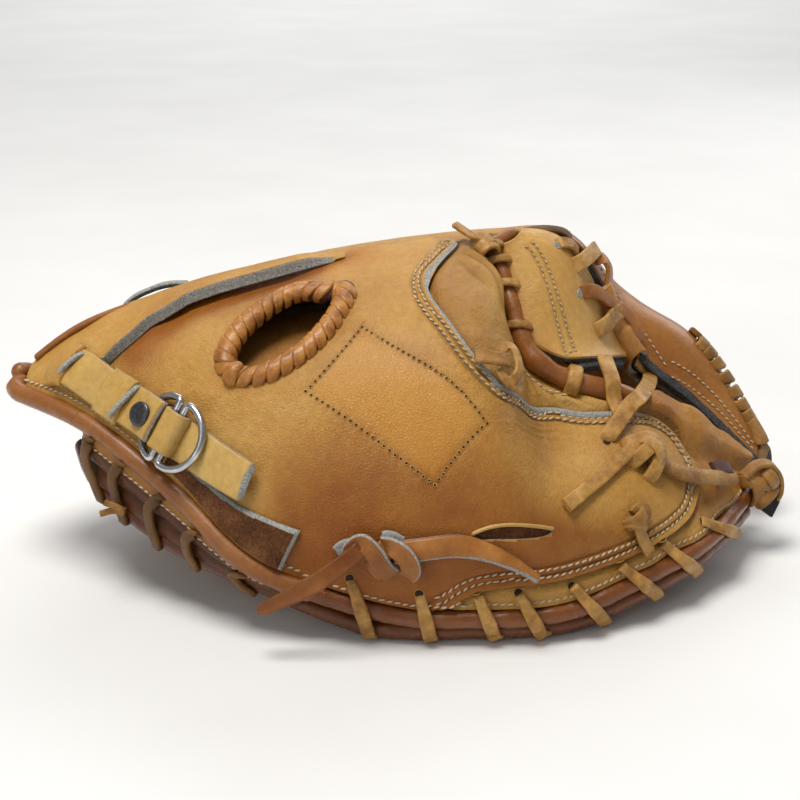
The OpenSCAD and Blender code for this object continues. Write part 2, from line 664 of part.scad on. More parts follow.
// The palm bends most where the web begins, so the padding stays further off there
thumb_pad_base = function(u, v) pad_base + 2.4 * (1 - ease(abs(u - 5.9)));
thumb_crown = function(u, v)
    thumb_pad_base(u, v) + 0.8 + pad_t * ease((0.8 - v) / 0.4) * ease((8.4 - u) / 2.2) * ease((u - 1.1) / 1.8)
    * (1 - 0.5 * ease((u - 4.6) / 1.4)) * (1 - 0.9 * ease((u - 4.9) / 0.7) * ease((0.55 - v) / 0.45));

module thumb_palm_leather() {
    color(tan_leather)
        shell(thumb_palm, across(steps(0.6, 8.5, 17), thumb_palm_low, thumb_palm_high), 8, 0, palm_t);
}

module thumb_pad() {
    color(felt)
        shell(thumb_palm, across(steps(1.3, 8, 13), function(u, v) u < 5.2 ? 0.04 : 0.12,
            function(u, v) u < 2.7 ? 0.53 : 0.74), 6, thumb_pad_base, thumb_crown);
}

module thumb_back_welt() {
    color(brown_leather) edge_roll(thumb_back, 1, 3.48, last, 24, welt_r, 8, -1);
}

module thumb_palm_welt() {
    color(brown_leather) resting_welt(thumb_palm, 1);
}

module thumb_heel_binding() {
    color(brown_leather) edge_roll(thumb_back, 1, 0.05, 3.4, 18, binding_r, 8, -0.5);
}

module thumb_heel_gusset() {
    low = function(u, v) (binding_r + 1.6) / norm(thumb_back(u, 1) - thumb_palm(u, 1));
    high = function(u, v) 1 - (welt_r + 2.6) / norm(thumb_back(u, 1) - thumb_palm(u, 1));
    color(brown_leather) shell(thumb_heel, across(steps(1.1, 3.1, 9), low, high), 2, 0, back_t);
}

module rim_laces_thumb() {
    color(lace_leather) for (u = steps(rim_first, rim_last, rim_loops - 1))
        rim_loop(thumb_back, 1, thumb_palm, 1, u, from_end(thumb_rows, u, welt_gap + 6), -1, welt_r, welt_r);
}

// Whip lace over the outer seam of the thumb tip
whip_wind_r = 2.2;
whip_stops = [[7.85, 0.43], [8.25, 0.43], [8.6, 0.43], [8.88, 0.42]];

function whip_points() =
    let (count = whip_loops * loop_points, course = function(k) through(whip_stops, (len(whip_stops) - 1) * k / count))
    [for (i = [0:count])
        let (p = course(i), q = course(min(i + 4, count)), b0 = course(max(i - 4, 0)),
            c = off(thumb_back, p[0], p[1], 0.6), n = face_normal(thumb_back, p[0], p[1]),
            t = unit(thumb_back(q[0], q[1]) - thumb_back(b0[0], b0[1])), turn = 360 * i / loop_points)
        c + whip_wind_r * (cos(turn) * n + sin(turn) * cross(n, t))];

module whip_lace() {
    color(lace_leather) wound_lace(whip_points(), whip_lace_r, "thumb tip whip lace");
}

finger_back_panel();
finger_under_leather();
finger_stall_lining();
finger_pad();
finger_palm_leather();
hand_lining();
finger_back_welt();
finger_palm_welt();
crotch_roll();
heel_binding();
heel_gusset();
rim_laces_finger();
heel_laces();
hole_lace_winding();
wrist_flap();
wrist_strap();
strap_loop();
strap_snap();
d_ring_outer();
d_ring_inner();
strap_tail();
suede_patch();
web_panel();
web_fold();
web_laces_finger();
cross_laces();
web_knot();
tip_knot();
small_knot();
front_thong();
ridge_knot();
palm_crease();
thumb_back_panel();
thumb_tip_panel();
thumb_tunnel();
thumb_stall_lining();
thumb_pad();
thumb_palm_leather();
thumb_back_welt();
thumb_palm_welt();
thumb_heel_binding();
thumb_heel_gusset();
rim_laces_thumb();
web_laces_thumb();
whip_lace();
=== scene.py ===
"""The look of a catcher's mitt that lies half closed with its palm down."""
import math

import bpy
import numpy as np
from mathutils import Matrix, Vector
from mathutils.bvhtree import BVHTree


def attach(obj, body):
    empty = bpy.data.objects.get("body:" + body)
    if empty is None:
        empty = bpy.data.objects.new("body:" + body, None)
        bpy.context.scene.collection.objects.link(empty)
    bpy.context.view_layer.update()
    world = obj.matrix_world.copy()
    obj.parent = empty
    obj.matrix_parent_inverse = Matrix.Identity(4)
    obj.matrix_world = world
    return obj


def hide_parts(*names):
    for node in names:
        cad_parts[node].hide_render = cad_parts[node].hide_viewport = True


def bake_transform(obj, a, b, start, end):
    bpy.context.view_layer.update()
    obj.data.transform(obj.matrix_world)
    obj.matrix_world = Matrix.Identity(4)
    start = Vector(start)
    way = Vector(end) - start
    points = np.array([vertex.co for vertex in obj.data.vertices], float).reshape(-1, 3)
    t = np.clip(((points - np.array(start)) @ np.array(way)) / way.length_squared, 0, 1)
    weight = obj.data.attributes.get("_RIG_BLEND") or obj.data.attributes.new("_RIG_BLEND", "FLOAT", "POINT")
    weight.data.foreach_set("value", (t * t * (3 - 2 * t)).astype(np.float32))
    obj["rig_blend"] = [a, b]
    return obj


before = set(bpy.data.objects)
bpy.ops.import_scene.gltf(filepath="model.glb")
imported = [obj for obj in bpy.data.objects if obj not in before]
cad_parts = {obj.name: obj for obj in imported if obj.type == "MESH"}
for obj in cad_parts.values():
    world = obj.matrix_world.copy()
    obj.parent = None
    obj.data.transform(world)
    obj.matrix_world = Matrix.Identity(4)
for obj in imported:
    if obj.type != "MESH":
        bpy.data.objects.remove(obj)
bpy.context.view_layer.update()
scene = bpy.context.scene

MM = 0.001
LAST = 9.0

# Camera, light and floor

CAMERA_AT = (-0.0043, -0.5785, 0.275)
CAMERA_DOWN = math.radians(20)
PHOTO_WIDTH = 800
FOCAL_PIXELS = 1500
SENSOR = 36.0


def place_camera():
    data = bpy.data.cameras.new("photo_camera")
    data.sensor_width = SENSOR
    data.lens = SENSOR * FOCAL_PIXELS / PHOTO_WIDTH
    data.clip_start = 0.01
    camera = bpy.data.objects.new("photo_camera", data)
    camera.location = CAMERA_AT
    camera.rotation_euler = (math.pi / 2 - CAMERA_DOWN, 0, 0)
    scene.collection.objects.link(camera)
    scene.camera = camera


def soft_lamp(name, at, aim, size, watts, tint=(1, 1, 1)):
    data = bpy.data.lights.new(name, "AREA")
    data.shape = "DISK"
    data.size = size
    data.energy = watts
    data.color = tint
    lamp = bpy.data.objects.new(name, data)
    lamp.location = at
    lamp.rotation_euler = (Vector(aim) - Vector(at)).to_track_quat("-Z", "Y").to_euler()
    scene.collection.objects.link(lamp)


def light_studio():
    soft_lamp("ceiling_lamp", (-0.3, -0.25, 1.5), (0, 0, 0.05), 0.7, 21, (1, 0.98, 0.95))
    soft_lamp("window_fill", (-0.9, -1.1, 0.7), (0, 0, 0.08), 1.1, 3.2, (0.97, 0.99, 1))
    soft_lamp("back_glow", (0.9, 0.9, 0.7), (0, 0, 0.1), 0.8, 4)
    soft_lamp("far_wash", (0, 2.7, 1.9), (0, 2.9, 0), 2.4, 42)
    world = bpy.data.worlds.new("studio_air")
    scene.world = world
    world.use_nodes = True
    air = world.node_tree.nodes["Background"]
    air.inputs["Color"].default_value = (0.93, 0.96, 1, 1)
    air.inputs["Strength"].default_value = 0.3


def lay_floor():
    half = 9.0
    mesh = bpy.data.meshes.new("studio_floor")
    mesh.from_pydata([(-half, -half, 0), (half, -half, 0), (half, half, 0), (-half, half, 0)], [],
                     [(0, 1, 2, 3)])
    floor = bpy.data.objects.new("studio_floor", mesh)
    floor.location.z = -0.0004
    scene.collection.objects.link(floor)
    material, shader = new_shader("pale_floor")
    cloud = shader.noise(6, detail=3)
    shader.set(Base_Color=shader.ramp(cloud, [(0.35, (0.76, 0.75, 0.73)), (0.7, (0.8, 0.79, 0.77))]))
    shader.set(Roughness=0.7)
    mesh.materials.append(material)


# The mitt's lofted faces: ribs in millimetres, the same as in its solids, and faces in metres

CENTRING = np.array([-4.3, -8.5, 0.0])
FINGER_ROWS = np.array([
    [-154, -2, 72, 70, 5, -154, 8, 77, 10, 5],
    [-121, -26, 67, 66, 20, -128, 13, 94, 12, 20],
    [-84, -53, 49, 72, 38, -88, 16, 109, 10, 38],
    [-54, -72, 28, 84, 54, -46, 18, 119, 8, 54],
    [-6, -78, 12, 94, 62, -6, 20, 126, 6, 62],
    [28, -79, 10, 95, 64, 34, 18, 127, 8, 64],
    [62, -75, 11, 93, 46, 52, -9, 88, 38, 46],
    [95, -58, 18, 84, 30, 90, -11, 74, 32, 30],
    [122, -35, 22, 72, 21, 122, 6, 51, 28, 21],
    [145, 3, 25, 60, 9, 147, 21, 29, 10, 9]], float)
THUMB_ROWS = np.array([
    [-153, 11, 77, 0, 4, -150, 19, 72, -70, 4],
    [-128, 16, 94, 0, 18, -120, 46, 66, -70, 18],
    [-88, 19, 109, 0, 34, -84, 72, 46, -75, 34],
    [-46, 21, 119, 0, 48, -44, 92, 15, -90, 48],
    [-6, 23, 126, 0, 56, -6, 97, 11, -94, 56],
    [40, 25, 130, 2, 58, 38, 99, 10, -95, 58],
    [72, 27, 124, 25, 22, 84, 96, 14, -93, 60],
    [97, 29, 78, 68, 46, 116, 87, 22, -88, 50],
    [126, 31, 52, 70, 50, 141, 76, 24, -86, 34],
    [154, 33, 24, 72, 22, 161, 50, 14, -80, 16]], float)
FINGER_PALM_ROWS = np.array([
    [-131, 2, 50, 40, 4, -131, 10, 54, 10, 4],
    [-119, -22, 41, 55, 14, -121, 11, 60, 8, 14],
    [-90, -45, 27, 60, 26, -92, 14, 68, 6, 30],
    [-55, -61, 17, 65, 34, -50, 16, 75, 5, 40],
    [-8, -73, 3, 68, 38, -6, 18, 79, 5, 44],
    [26, -74, 3, 68, 40, 28, 19, 80, 5, 44],
    [60, -70, 3, 50, 38, 52, -2, 77, 75, 34],
    [94, -54, 10, 36, 26, 90, -3, 64, 74, 26],
    [119, -33, 14, 32, 18, 121, 12, 43, 60, 18],
    [143, 3, 17, 45, 8, 145, 20, 20, 20, 7]], float)
THUMB_PALM_ROWS = np.array([
    [-131, 15, 54, -5, 4, -129, 23, 50, -40, 4],
    [-121, 16, 60, -5, 12, -117, 44, 40, -55, 12],
    [-92, 19, 68, -5, 26, -90, 70, 18, -62, 24],
    [-50, 22, 75, -5, 36, -50, 87, 3, -66, 32],
    [-6, 24, 79, -5, 40, -8, 92, 3, -68, 36],
    [32, 26, 80, -5, 40, 36, 94, 3, -68, 38],
    [68, 31, 104, 0, 30, 80, 90, 6, -70, 40],
    [96, 37, 66, 20, 18, 112, 81, 13, -75, 24],
    [125, 39, 41, 20, 14, 135, 70, 16, -75, 16],
    [149, 41, 15, 10, 5, 154, 47, 8, -60, 5]], float)


def through(rows, t):
    """A smooth pass through rows of numbers, whole numbers of t being the rows."""
    rows = np.asarray(rows, float)
    t = np.asarray(t, float)
    i = np.clip(np.floor(t).astype(int), 0, len(rows) - 2)
    f = (t - i)[..., None]
    longer = np.vstack([2 * rows[0] - rows[1], rows, 2 * rows[-1] - rows[-2]])
    a, b, c, d = (longer[i + k] for k in range(4))
    return 0.5 * (2 * b + (c - a) * f + (2 * a - 5 * b + 4 * c - d) * f ** 2
                  + (3 * b - a - 3 * c + d) * f ** 3)


def rib_face(rows):
    """A face from its ribs: u runs along the mitt, v along a rib."""
    def face(u, v):
        u, v = np.broadcast_arrays(np.asarray(u, float), np.asarray(v, float))
        r = through(rows, u)
        v = v[..., None]
        w = 1 - v
        def pull(angle, reach):
            a = np.radians(r[..., angle])
            return r[..., reach, None] * np.stack([0 * a, np.cos(a), np.sin(a)], -1)
        start, end = r[..., 0:3], r[..., 5:8]
        curve = (w ** 3 * start + 3 * w ** 2 * v * (start + pull(3, 4))
                 + 3 * w * v ** 2 * (end - pull(8, 9)) + v ** 3 * end)
        return (curve + CENTRING) * MM
    return face


def between(low, high):
    """The flat strip between two edges, each a function of u."""
    def face(u, v):
        u, v = np.broadcast_arrays(np.asarray(u, float), np.asarray(v, float))
        return low(u) + (high(u) - low(u)) * v[..., None]
    return face


finger_back = rib_face(FINGER_ROWS)
thumb_back = rib_face(THUMB_ROWS)
finger_palm = rib_face(FINGER_PALM_ROWS)
thumb_palm = rib_face(THUMB_PALM_ROWS)
finger_heel = between(lambda u: finger_palm(u, 0), lambda u: finger_back(u, 0))
thumb_heel = between(lambda u: thumb_back(u, 1), lambda u: thumb_palm(u, 1))
palm_fold = between(lambda u: finger_palm(u, 1), lambda u: thumb_palm(u, 0))


def unit(v):
    v = np.asarray(v, float)
    return v / np.maximum(np.linalg.norm(v, axis=-1, keepdims=True), 1e-12)


def face_normal(face, u, v):
    e = 0.02
    du = face(np.minimum(u + e, LAST), v) - face(np.maximum(u - e, 0), v)
    dv = face(u, np.minimum(v + e, 1)) - face(u, np.maximum(v - e, 0))
    return unit(np.cross(du, dv))


def off(face, u, v, lift):
    """Points set off from a face by a lift in millimetres."""
    u, v = np.broadcast_arrays(np.asarray(u, float), np.asarray(v, float))
    lift = np.broadcast_to(np.asarray(lift, float), u.shape)
    return moved(face(u, v), face_normal(face, u, v), lift)


def from_start(rows, u, distance):
    return distance / (3 * through(rows, u)[..., 4])


def from_end(rows, u, distance):
    return 1 - distance / (3 * through(rows, u)[..., 9])


def ease(t):
    c = np.clip(t, 0, 1)
    return c * c * (3 - 2 * c)


def near(distance, width):
    """A bell that is 1 at no distance and fades over a width."""
    return np.exp(-(distance / width) ** 2)


def moved(points, ways, lift):
    """Points moved along their ways by a lift in millimetres."""
    return points + ways * lift[..., None] * MM


def drawn(points):
    """Points of the drawing, in millimetres, as points of the part."""
    return (np.asarray(points, float) + CENTRING) * MM


def crowded(n, crowd=0.8):
    """Shares from 0 to 1 that lie closer together at both ends."""
    x = np.linspace(0, 1, n)
    return x - crowd * np.sin(2 * math.pi * x) / (2 * math.pi)


def soft_noise(points, size, seed=0):
    """Smooth random heights from -1 to 1, with lumps of a size in metres."""
    p = np.asarray(points, float) / size + seed * 17.31
    cell = np.floor(p).astype(np.int64)
    f = p - cell
    f = f * f * (3 - 2 * f)
    total = np.zeros(p.shape[:-1])
    for corner in np.ndindex(2, 2, 2):
        c = cell + np.array(corner)
        h = c[..., 0] * 374761393 + c[..., 1] * 668265263 + c[..., 2] * 2147483647 + seed * 144269
        h = (h ^ (h >> 13)) * 1274126177
        h = ((h ^ (h >> 16)) & 0xFFFF) / 65535.0
        share = np.ones(p.shape[:-1])
        for axis in range(3):
            share = share * (f[..., axis] if corner[axis] else 1 - f[..., axis])
        total = total + share * h
    return 2 * total - 1


def smooth_line(stops, n):
    """n points on a smooth curve through stops."""
    return through(np.asarray(stops, float), np.linspace(0, len(stops) - 1, n))


def even_line(points, n):
    """The same line, with n points at equal distances."""
    points = np.asarray(points, float)
    steps = np.linalg.norm(np.diff(points[:, :3], axis=0), axis=1)
    s = np.concatenate([[0], np.cumsum(steps)])
    at = np.linspace(0, s[-1], n)
    return np.stack([np.interp(at, s, points[:, k]) for k in range(points.shape[1])], 1)


def distance_to(points, line):
    """Distance of each point to the nearest stretch of a line."""
    points = np.asarray(points, float)
    flat = points.reshape(-1, 3)
    best = np.full(len(flat), 1e9)
    for a, b in zip(line[:-1], line[1:]):
        ab = b - a
        t = np.clip(((flat - a) @ ab) / max(ab @ ab, 1e-15), 0, 1)
        best = np.minimum(best, np.linalg.norm(flat - a - t[:, None] * ab, axis=1))
    return best.reshape(points.shape[:-1])


# Materials


class Shader:
    """Short words for the nodes that the finishes are made of."""

    def __init__(self, tree):
        self.tree = tree
        self.bsdf = tree.nodes["Principled BSDF"]
        self.place = self.node("ShaderNodeTexCoord").outputs["Object"]

    def node(self, kind, settings=None, **inputs):
        made = self.tree.nodes.new(kind)
        for key, value in (settings or {}).items():
            setattr(made, key, value)
        for key, value in inputs.items():
            self.feed(made.inputs[key.replace("_", " ")], value)
        return made

    def feed(self, socket, value):
        if isinstance(value, bpy.types.NodeSocket):
            self.tree.links.new(value, socket)
        elif isinstance(value, (tuple, list)) and len(value) == 3 and socket.type == "RGBA":
            socket.default_value = (*value, 1)
        else:
            socket.default_value = value

    def set(self, **inputs):
        for key, value in inputs.items():
            self.feed(self.bsdf.inputs[key.replace("_", " ")], value)

    def noise(self, scale, detail=4, roughness=0.55, place=None):
        return self.node("ShaderNodeTexNoise", Vector=place or self.place, Scale=scale, Detail=detail,
                         Roughness=roughness).outputs["Fac"]

    def cells(self, scale, place):
        return self.node("ShaderNodeTexVoronoi", {"feature": "DISTANCE_TO_EDGE"}, Vector=place,
                         Scale=scale).outputs["Distance"]

    def stretched(self, along):
        return self.node("ShaderNodeMapping", Vector=self.place, Scale=along).outputs["Vector"]

    def warped(self, scale, reach):
        noise = self.node("ShaderNodeTexNoise", Vector=self.place, Scale=scale, Detail=2)
        pushed = self.node("ShaderNodeVectorMath", {"operation": "SCALE"}, Scale=reach)
        self.feed(pushed.inputs[0], noise.outputs["Color"])
        shifted = self.node("ShaderNodeVectorMath", {"operation": "ADD"})
        self.feed(shifted.inputs[0], self.place)
        self.feed(shifted.inputs[1], pushed.outputs[0])
        return shifted.outputs[0]

    def attribute(self, name):
        return self.node("ShaderNodeAttribute", {"attribute_name": name}).outputs["Fac"]

    def math(self, operation, a, b=0.0, clamp=False):
        made = self.node("ShaderNodeMath", {"operation": operation, "use_clamp": clamp})
        self.feed(made.inputs[0], a)
        self.feed(made.inputs[1], b)
        return made.outputs[0]

    def span(self, value, low, high, to_low=0.0, to_high=1.0):
        return self.node("ShaderNodeMapRange", Value=value, From_Min=low, From_Max=high, To_Min=to_low,
                         To_Max=to_high).outputs["Result"]

    def ramp(self, value, stops):
        made = self.node("ShaderNodeValToRGB", Fac=value)
        band = made.color_ramp
        while len(band.elements) < len(stops):
            band.elements.new(0.5)
        for element, (at, colour) in zip(band.elements, stops):
            element.position = at
            element.color = (*colour, 1)
        return made.outputs["Color"]

    def blend(self, share, a, b, kind="MIX"):
        made = self.node("ShaderNodeMix", {"data_type": "RGBA", "blend_type": kind})
        self.feed(made.inputs[0], share)
        self.feed(made.inputs[6], a)
        self.feed(made.inputs[7], b)
        return made.outputs[2]

    def bump(self, height, strength, distance, under=None):
        made = self.node("ShaderNodeBump", Height=height, Strength=strength, Distance=distance)
        if under is not None:
            self.feed(made.inputs["Normal"], under)
        return made.outputs["Normal"]


def new_shader(name):
    material = bpy.data.materials.new(name)
    material.use_nodes = True
    return material, Shader(material.node_tree)


def leather(name, deep, base, pale, grain=900, relief=0.58, rough=(0.36, 0.58), crease=60, coat=0.0,
            mottle=26):
    """Grain leather: mottled colour, darkened seams, soil and painted shade, a warm painted shade tint,
    pebbled relief and fine creases.
    """
    material, s = new_shader(name)
    mottled = s.ramp(s.noise(mottle, detail=6, roughness=0.6), [(0.28, deep), (0.5, base), (0.74, pale)])
    flecks = s.span(s.noise(420, detail=3), 0.35, 0.7, 0.9, 1.06)
    grey = s.node("ShaderNodeCombineColor", Red=flecks, Green=flecks, Blue=flecks).outputs[0]
    colour = s.blend(1.0, mottled, grey, "MULTIPLY")
    dark = tuple(0.34 * c for c in deep)
    # Seams are darkened here, and so is painted shade in creases, under edges and just under the wrist flap.
    colour = s.blend(s.math("MULTIPLY", s.attribute("seam"), 0.75, True), colour, dark)
    # Soil, and painted shade on the low front, under the flap and at the heel, turn the colour towards this
    # deep brown in patches.
    patchy = s.span(s.noise(55, detail=5), 0.25, 0.75, 0.5, 1.0)
    soil = s.math("MULTIPLY", s.attribute("soil"), patchy, True)
    colour = s.blend(soil, colour, (0.6 * deep[0], 0.42 * deep[1], 0.26 * deep[2]))
    golden = (1.06 * base[0], 0.95 * base[1], 0.66 * base[2])
    colour = s.blend(s.math("MULTIPLY", s.attribute("gold"), 0.8, True), colour, golden)
    # Painted shade: a warmer, darker tint where the leather lies in shade.
    colour = s.blend(s.attribute("amber"), colour, (1.0, 0.78, 0.42), "MULTIPLY")
    s.set(Base_Color=colour)
    s.set(Roughness=s.span(s.noise(38, detail=5), 0.3, 0.72, rough[0], rough[1]))
    pebbles = s.math("POWER", s.cells(grain, place=s.warped(300, 0.0012)), 0.5)
    wrinkles = s.noise(crease, detail=7, roughness=0.68)
    fine = s.noise(2600, detail=2)
    height = s.math("ADD", s.math("MULTIPLY", pebbles, 0.55), s.math("MULTIPLY", fine, 0.3))
    worn = s.math("MULTIPLY", s.attribute("worn"), s.noise(230, detail=5, roughness=0.7))
    low = s.bump(worn, 0.8, 0.0014, s.bump(wrinkles, 0.65, 0.0013))
    s.set(Normal=s.bump(height, 0.8, relief * MM, low))
    s.set(Specular_IOR_Level=0.3, Coat_Weight=coat, Coat_Roughness=0.25)
    return material


def cut_edge(name, deep, base, pale):
    """The fibrous side of cut leather."""
    material, s = new_shader(name)
    fibres = s.noise(1500, detail=4, roughness=0.7)
    s.set(Base_Color=s.ramp(fibres, [(0.3, deep), (0.5, base), (0.68, pale)]))
    s.set(Roughness=s.span(s.noise(300), 0.3, 0.7, 0.82, 0.97))
    s.set(Normal=s.bump(fibres, 0.8, 0.00035))
    s.set(Specular_IOR_Level=0.2)
    return material


def napped(name, deep, base, pale):
    """Suede and felt: a short nap with no gloss."""
    material, s = new_shader(name)
    nap = s.noise(900, detail=6, roughness=0.8)
    tone = s.math("ADD", s.math("MULTIPLY", nap, 0.6), s.math("MULTIPLY", s.noise(90, detail=5), 0.4))
    s.set(Base_Color=s.ramp(tone, [(0.36, deep), (0.5, base), (0.64, pale)]))
    s.set(Roughness=s.span(nap, 0.3, 0.7, 0.86, 0.98))
    s.set(Normal=s.bump(nap, 1.0, 0.0015))
    s.set(Specular_IOR_Level=0.1, Sheen_Weight=0.04, Sheen_Roughness=0.5)
    return material


def thread(name, deep, pale):
    """Twisted sewing thread, a little soiled."""
    material, s = new_shader(name)
    twist = s.noise(2400, detail=3)
    tone = s.math("ADD", s.math("MULTIPLY", twist, 0.5), s.math("MULTIPLY", s.noise(45), 0.5))
    s.set(Base_Color=s.ramp(tone, [(0.36, deep), (0.6, pale)]))
    s.set(Roughness=s.span(twist, 0.3, 0.7, 0.6, 0.8))
    s.set(Normal=s.bump(twist, 0.6, 0.0002))
    return material


def ring_metal(name):
    """Nickel-plated wire with fine scratches and a dull film in places."""
    material, s = new_shader(name)
    film = s.noise(140, detail=5)
    s.set(Base_Color=s.ramp(film, [(0.35, (0.4, 0.39, 0.375)), (0.6, (0.6, 0.6, 0.61))]))
    s.set(Roughness=s.span(film, 0.3, 0.7, 0.3, 0.16))
    s.set(Normal=s.bump(s.noise(1600, detail=2, place=s.stretched((1, 1, 6))), 0.12, 0.0001))
    s.set(Metallic=1.0)
    return material


def enamel(name):
    """Black snap enamel, scuffed a little."""
    material, s = new_shader(name)
    scuffs = s.noise(700, detail=5, roughness=0.7)
    s.set(Base_Color=s.ramp(scuffs, [(0.45, (0.012, 0.011, 0.011)), (0.75, (0.05, 0.047, 0.044))]))
    s.set(Roughness=s.span(scuffs, 0.3, 0.75, 0.24, 0.5))
    s.set(Normal=s.bump(scuffs, 0.15, 0.0001))
    s.set(Coat_Weight=0.3)
    return material


def dark_hole(name):
    """The shaded inside of a punched hole."""
    material, s = new_shader(name)
    s.set(Base_Color=s.ramp(s.noise(900), [(0.3, (0.012, 0.006, 0.003)), (0.7, (0.04, 0.02, 0.009))]))
    s.set(Roughness=s.span(s.noise(500), 0.3, 0.7, 0.85, 1.0))
    return material


tan = leather("tan_leather", (0.39, 0.172, 0.029), (0.485, 0.244, 0.045), (0.55, 0.305, 0.075),
              rough=(0.3, 0.5), coat=0.06)
strap_tan = leather("strap_leather", (0.42, 0.235, 0.055), (0.51, 0.31, 0.085), (0.57, 0.38, 0.12),
                    grain=1300, relief=0.08, rough=(0.3, 0.46), coat=0.08)
web_tan = leather("web_leather", (0.48, 0.245, 0.058), (0.59, 0.33, 0.084), (0.65, 0.395, 0.12), relief=0.3,
                  rough=(0.24, 0.42), coat=0.16)
brown = leather("brown_leather", (0.25, 0.085, 0.015), (0.34, 0.13, 0.024), (0.42, 0.18, 0.04), relief=0.07,
                rough=(0.26, 0.42), coat=0.15)
sleeve_tan = leather("sleeve_leather", (0.32, 0.12, 0.022), (0.45, 0.19, 0.037), (0.55, 0.26, 0.06),
                     relief=0.08, rough=(0.26, 0.42), coat=0.12)
binding_brown = leather("binding_leather", (0.17, 0.052, 0.009), (0.26, 0.09, 0.016), (0.33, 0.125, 0.026),
                        grain=1500, relief=0.05, rough=(0.22, 0.38), coat=0.3, crease=140)
welt_brown = leather("welt_leather", (0.12, 0.032, 0.006), (0.19, 0.056, 0.01), (0.26, 0.085, 0.018),
                     grain=1500, relief=0.05, rough=(0.18, 0.34), coat=0.35, crease=140)
# Painted shade: a brown darkened well below the welts' own, for the heel, which lies in deep shadow.
shaded_heel_brown = leather("shaded_heel_leather", (0.05, 0.014, 0.003), (0.095, 0.029, 0.005), (0.15, 0.05, 0.009),
                     grain=1500, relief=0.06, rough=(0.3, 0.48), coat=0.05, crease=140)
lining_tan = leather("lining_leather", (0.36, 0.172, 0.032), (0.5, 0.265, 0.056), (0.6, 0.35, 0.095),
                     crease=110, relief=0.45, rough=(0.34, 0.54))
lace_tan = leather("lace_leather", (0.2, 0.083, 0.015), (0.42, 0.21, 0.046), (0.58, 0.34, 0.1), grain=1500,
                   relief=0.14, rough=(0.28, 0.48), crease=200, mottle=105, coat=0.1)
# Partly painted shade: the heel laces, which lie in shadow, get this darker brown; the top lace uses it as
# well.
dark_lace = leather("dark_lace_leather", (0.065, 0.026, 0.005), (0.135, 0.058, 0.011), (0.22, 0.1, 0.023),
                    grain=1500, relief=0.1, rough=(0.32, 0.52), crease=200, mottle=60)
old_lace = leather("old_lace_leather", (0.17, 0.074, 0.014), (0.32, 0.148, 0.031), (0.47, 0.245, 0.066),
                   grain=1500, relief=0.12, rough=(0.3, 0.5), crease=200, mottle=110)
wrap_brown = leather("winding_leather", (0.21, 0.068, 0.01), (0.4, 0.155, 0.024), (0.53, 0.24, 0.048),
                     grain=1700, relief=0.06, rough=(0.2, 0.36), coat=0.3, crease=220, mottle=150)
thong_brown = leather("thong_leather", (0.2, 0.062, 0.01), (0.35, 0.13, 0.024), (0.47, 0.205, 0.05),
                      grain=1300, relief=0.12, rough=(0.28, 0.46), mottle=60, coat=0.12)
raw_grey = cut_edge("raw_edge", (0.14, 0.14, 0.125), (0.3, 0.295, 0.265), (0.48, 0.48, 0.45))
raw_mid = cut_edge("flap_edge", (0.1, 0.101, 0.092), (0.29, 0.29, 0.262), (0.5, 0.5, 0.46))
raw_dark = cut_edge("dark_edge", (0.02, 0.02, 0.02), (0.065, 0.067, 0.066), (0.15, 0.15, 0.145))
flesh = napped("flesh_side", (0.3, 0.16, 0.06), (0.38, 0.22, 0.095), (0.46, 0.29, 0.14))
suede_brown = napped("brown_suede", (0.05, 0.016, 0.005), (0.17, 0.063, 0.021), (0.34, 0.145, 0.058))
felt = napped("wool_felt", (0.5, 0.46, 0.37), (0.62, 0.58, 0.48), (0.72, 0.68, 0.59))
white_thread = thread("seam_thread", (0.34, 0.24, 0.13), (0.64, 0.52, 0.35))
nickel = ring_metal("ring_nickel")
black_enamel = enamel("snap_enamel")
# A dark lace leather: the dyed lace end at the tip, and painted shade for the core under the hole's winding.
dye_and_shade_lace = leather("dye_and_shade_lace_leather", (0.04, 0.013, 0.009), (0.09, 0.03, 0.019), (0.14, 0.053, 0.034),
                    grain=1500, crease=200)
black_lace = leather("black_lace_leather", (0.008, 0.006, 0.005), (0.018, 0.013, 0.011),
                     (0.04, 0.03, 0.026), grain=1500, crease=200)
hole_dark = dark_hole("hole_shade")


# Meshes


def make_piece(name, verts, faces, materials, which=None, smooth_below=42, **attributes):
    """A mesh object from points and faces, with a material number for each face and named point values."""
    mesh = bpy.data.meshes.new(name)
    mesh.from_pydata(np.asarray(verts, float).tolist(), [], [list(map(int, f)) for f in faces])
    for material in materials:
        mesh.materials.append(material)
    if which is not None:
        mesh.polygons.foreach_set("material_index", np.asarray(which, np.int32))
    mesh.polygons.foreach_set("use_smooth", np.ones(len(mesh.polygons), bool))
    for key, values in attributes.items():
        layer = mesh.attributes.new(key, "FLOAT", "POINT")
        layer.data.foreach_set("value", np.asarray(values, np.float32).ravel())
    mesh.update()
    mesh.set_sharp_from_angle(angle=math.radians(smooth_below))
    piece = bpy.data.objects.new(name, mesh)
    scene.collection.objects.link(piece)
    return piece


def belongs(piece, body, *nodes, slot=None):
    """Ties a piece to its body and hides the solids it stands for. The slot is not used."""
    if isinstance(body, str):
        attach(piece, body)
    if nodes:
        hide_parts(*nodes)
    return piece


def grid_quads(nu, nv):
    i, j = np.meshgrid(np.arange(nu - 1), np.arange(nv - 1), indexing="ij")
    a = (i * nv + j).ravel()
    return np.stack([a, a + nv, a + nv + 1, a + 1], 1)


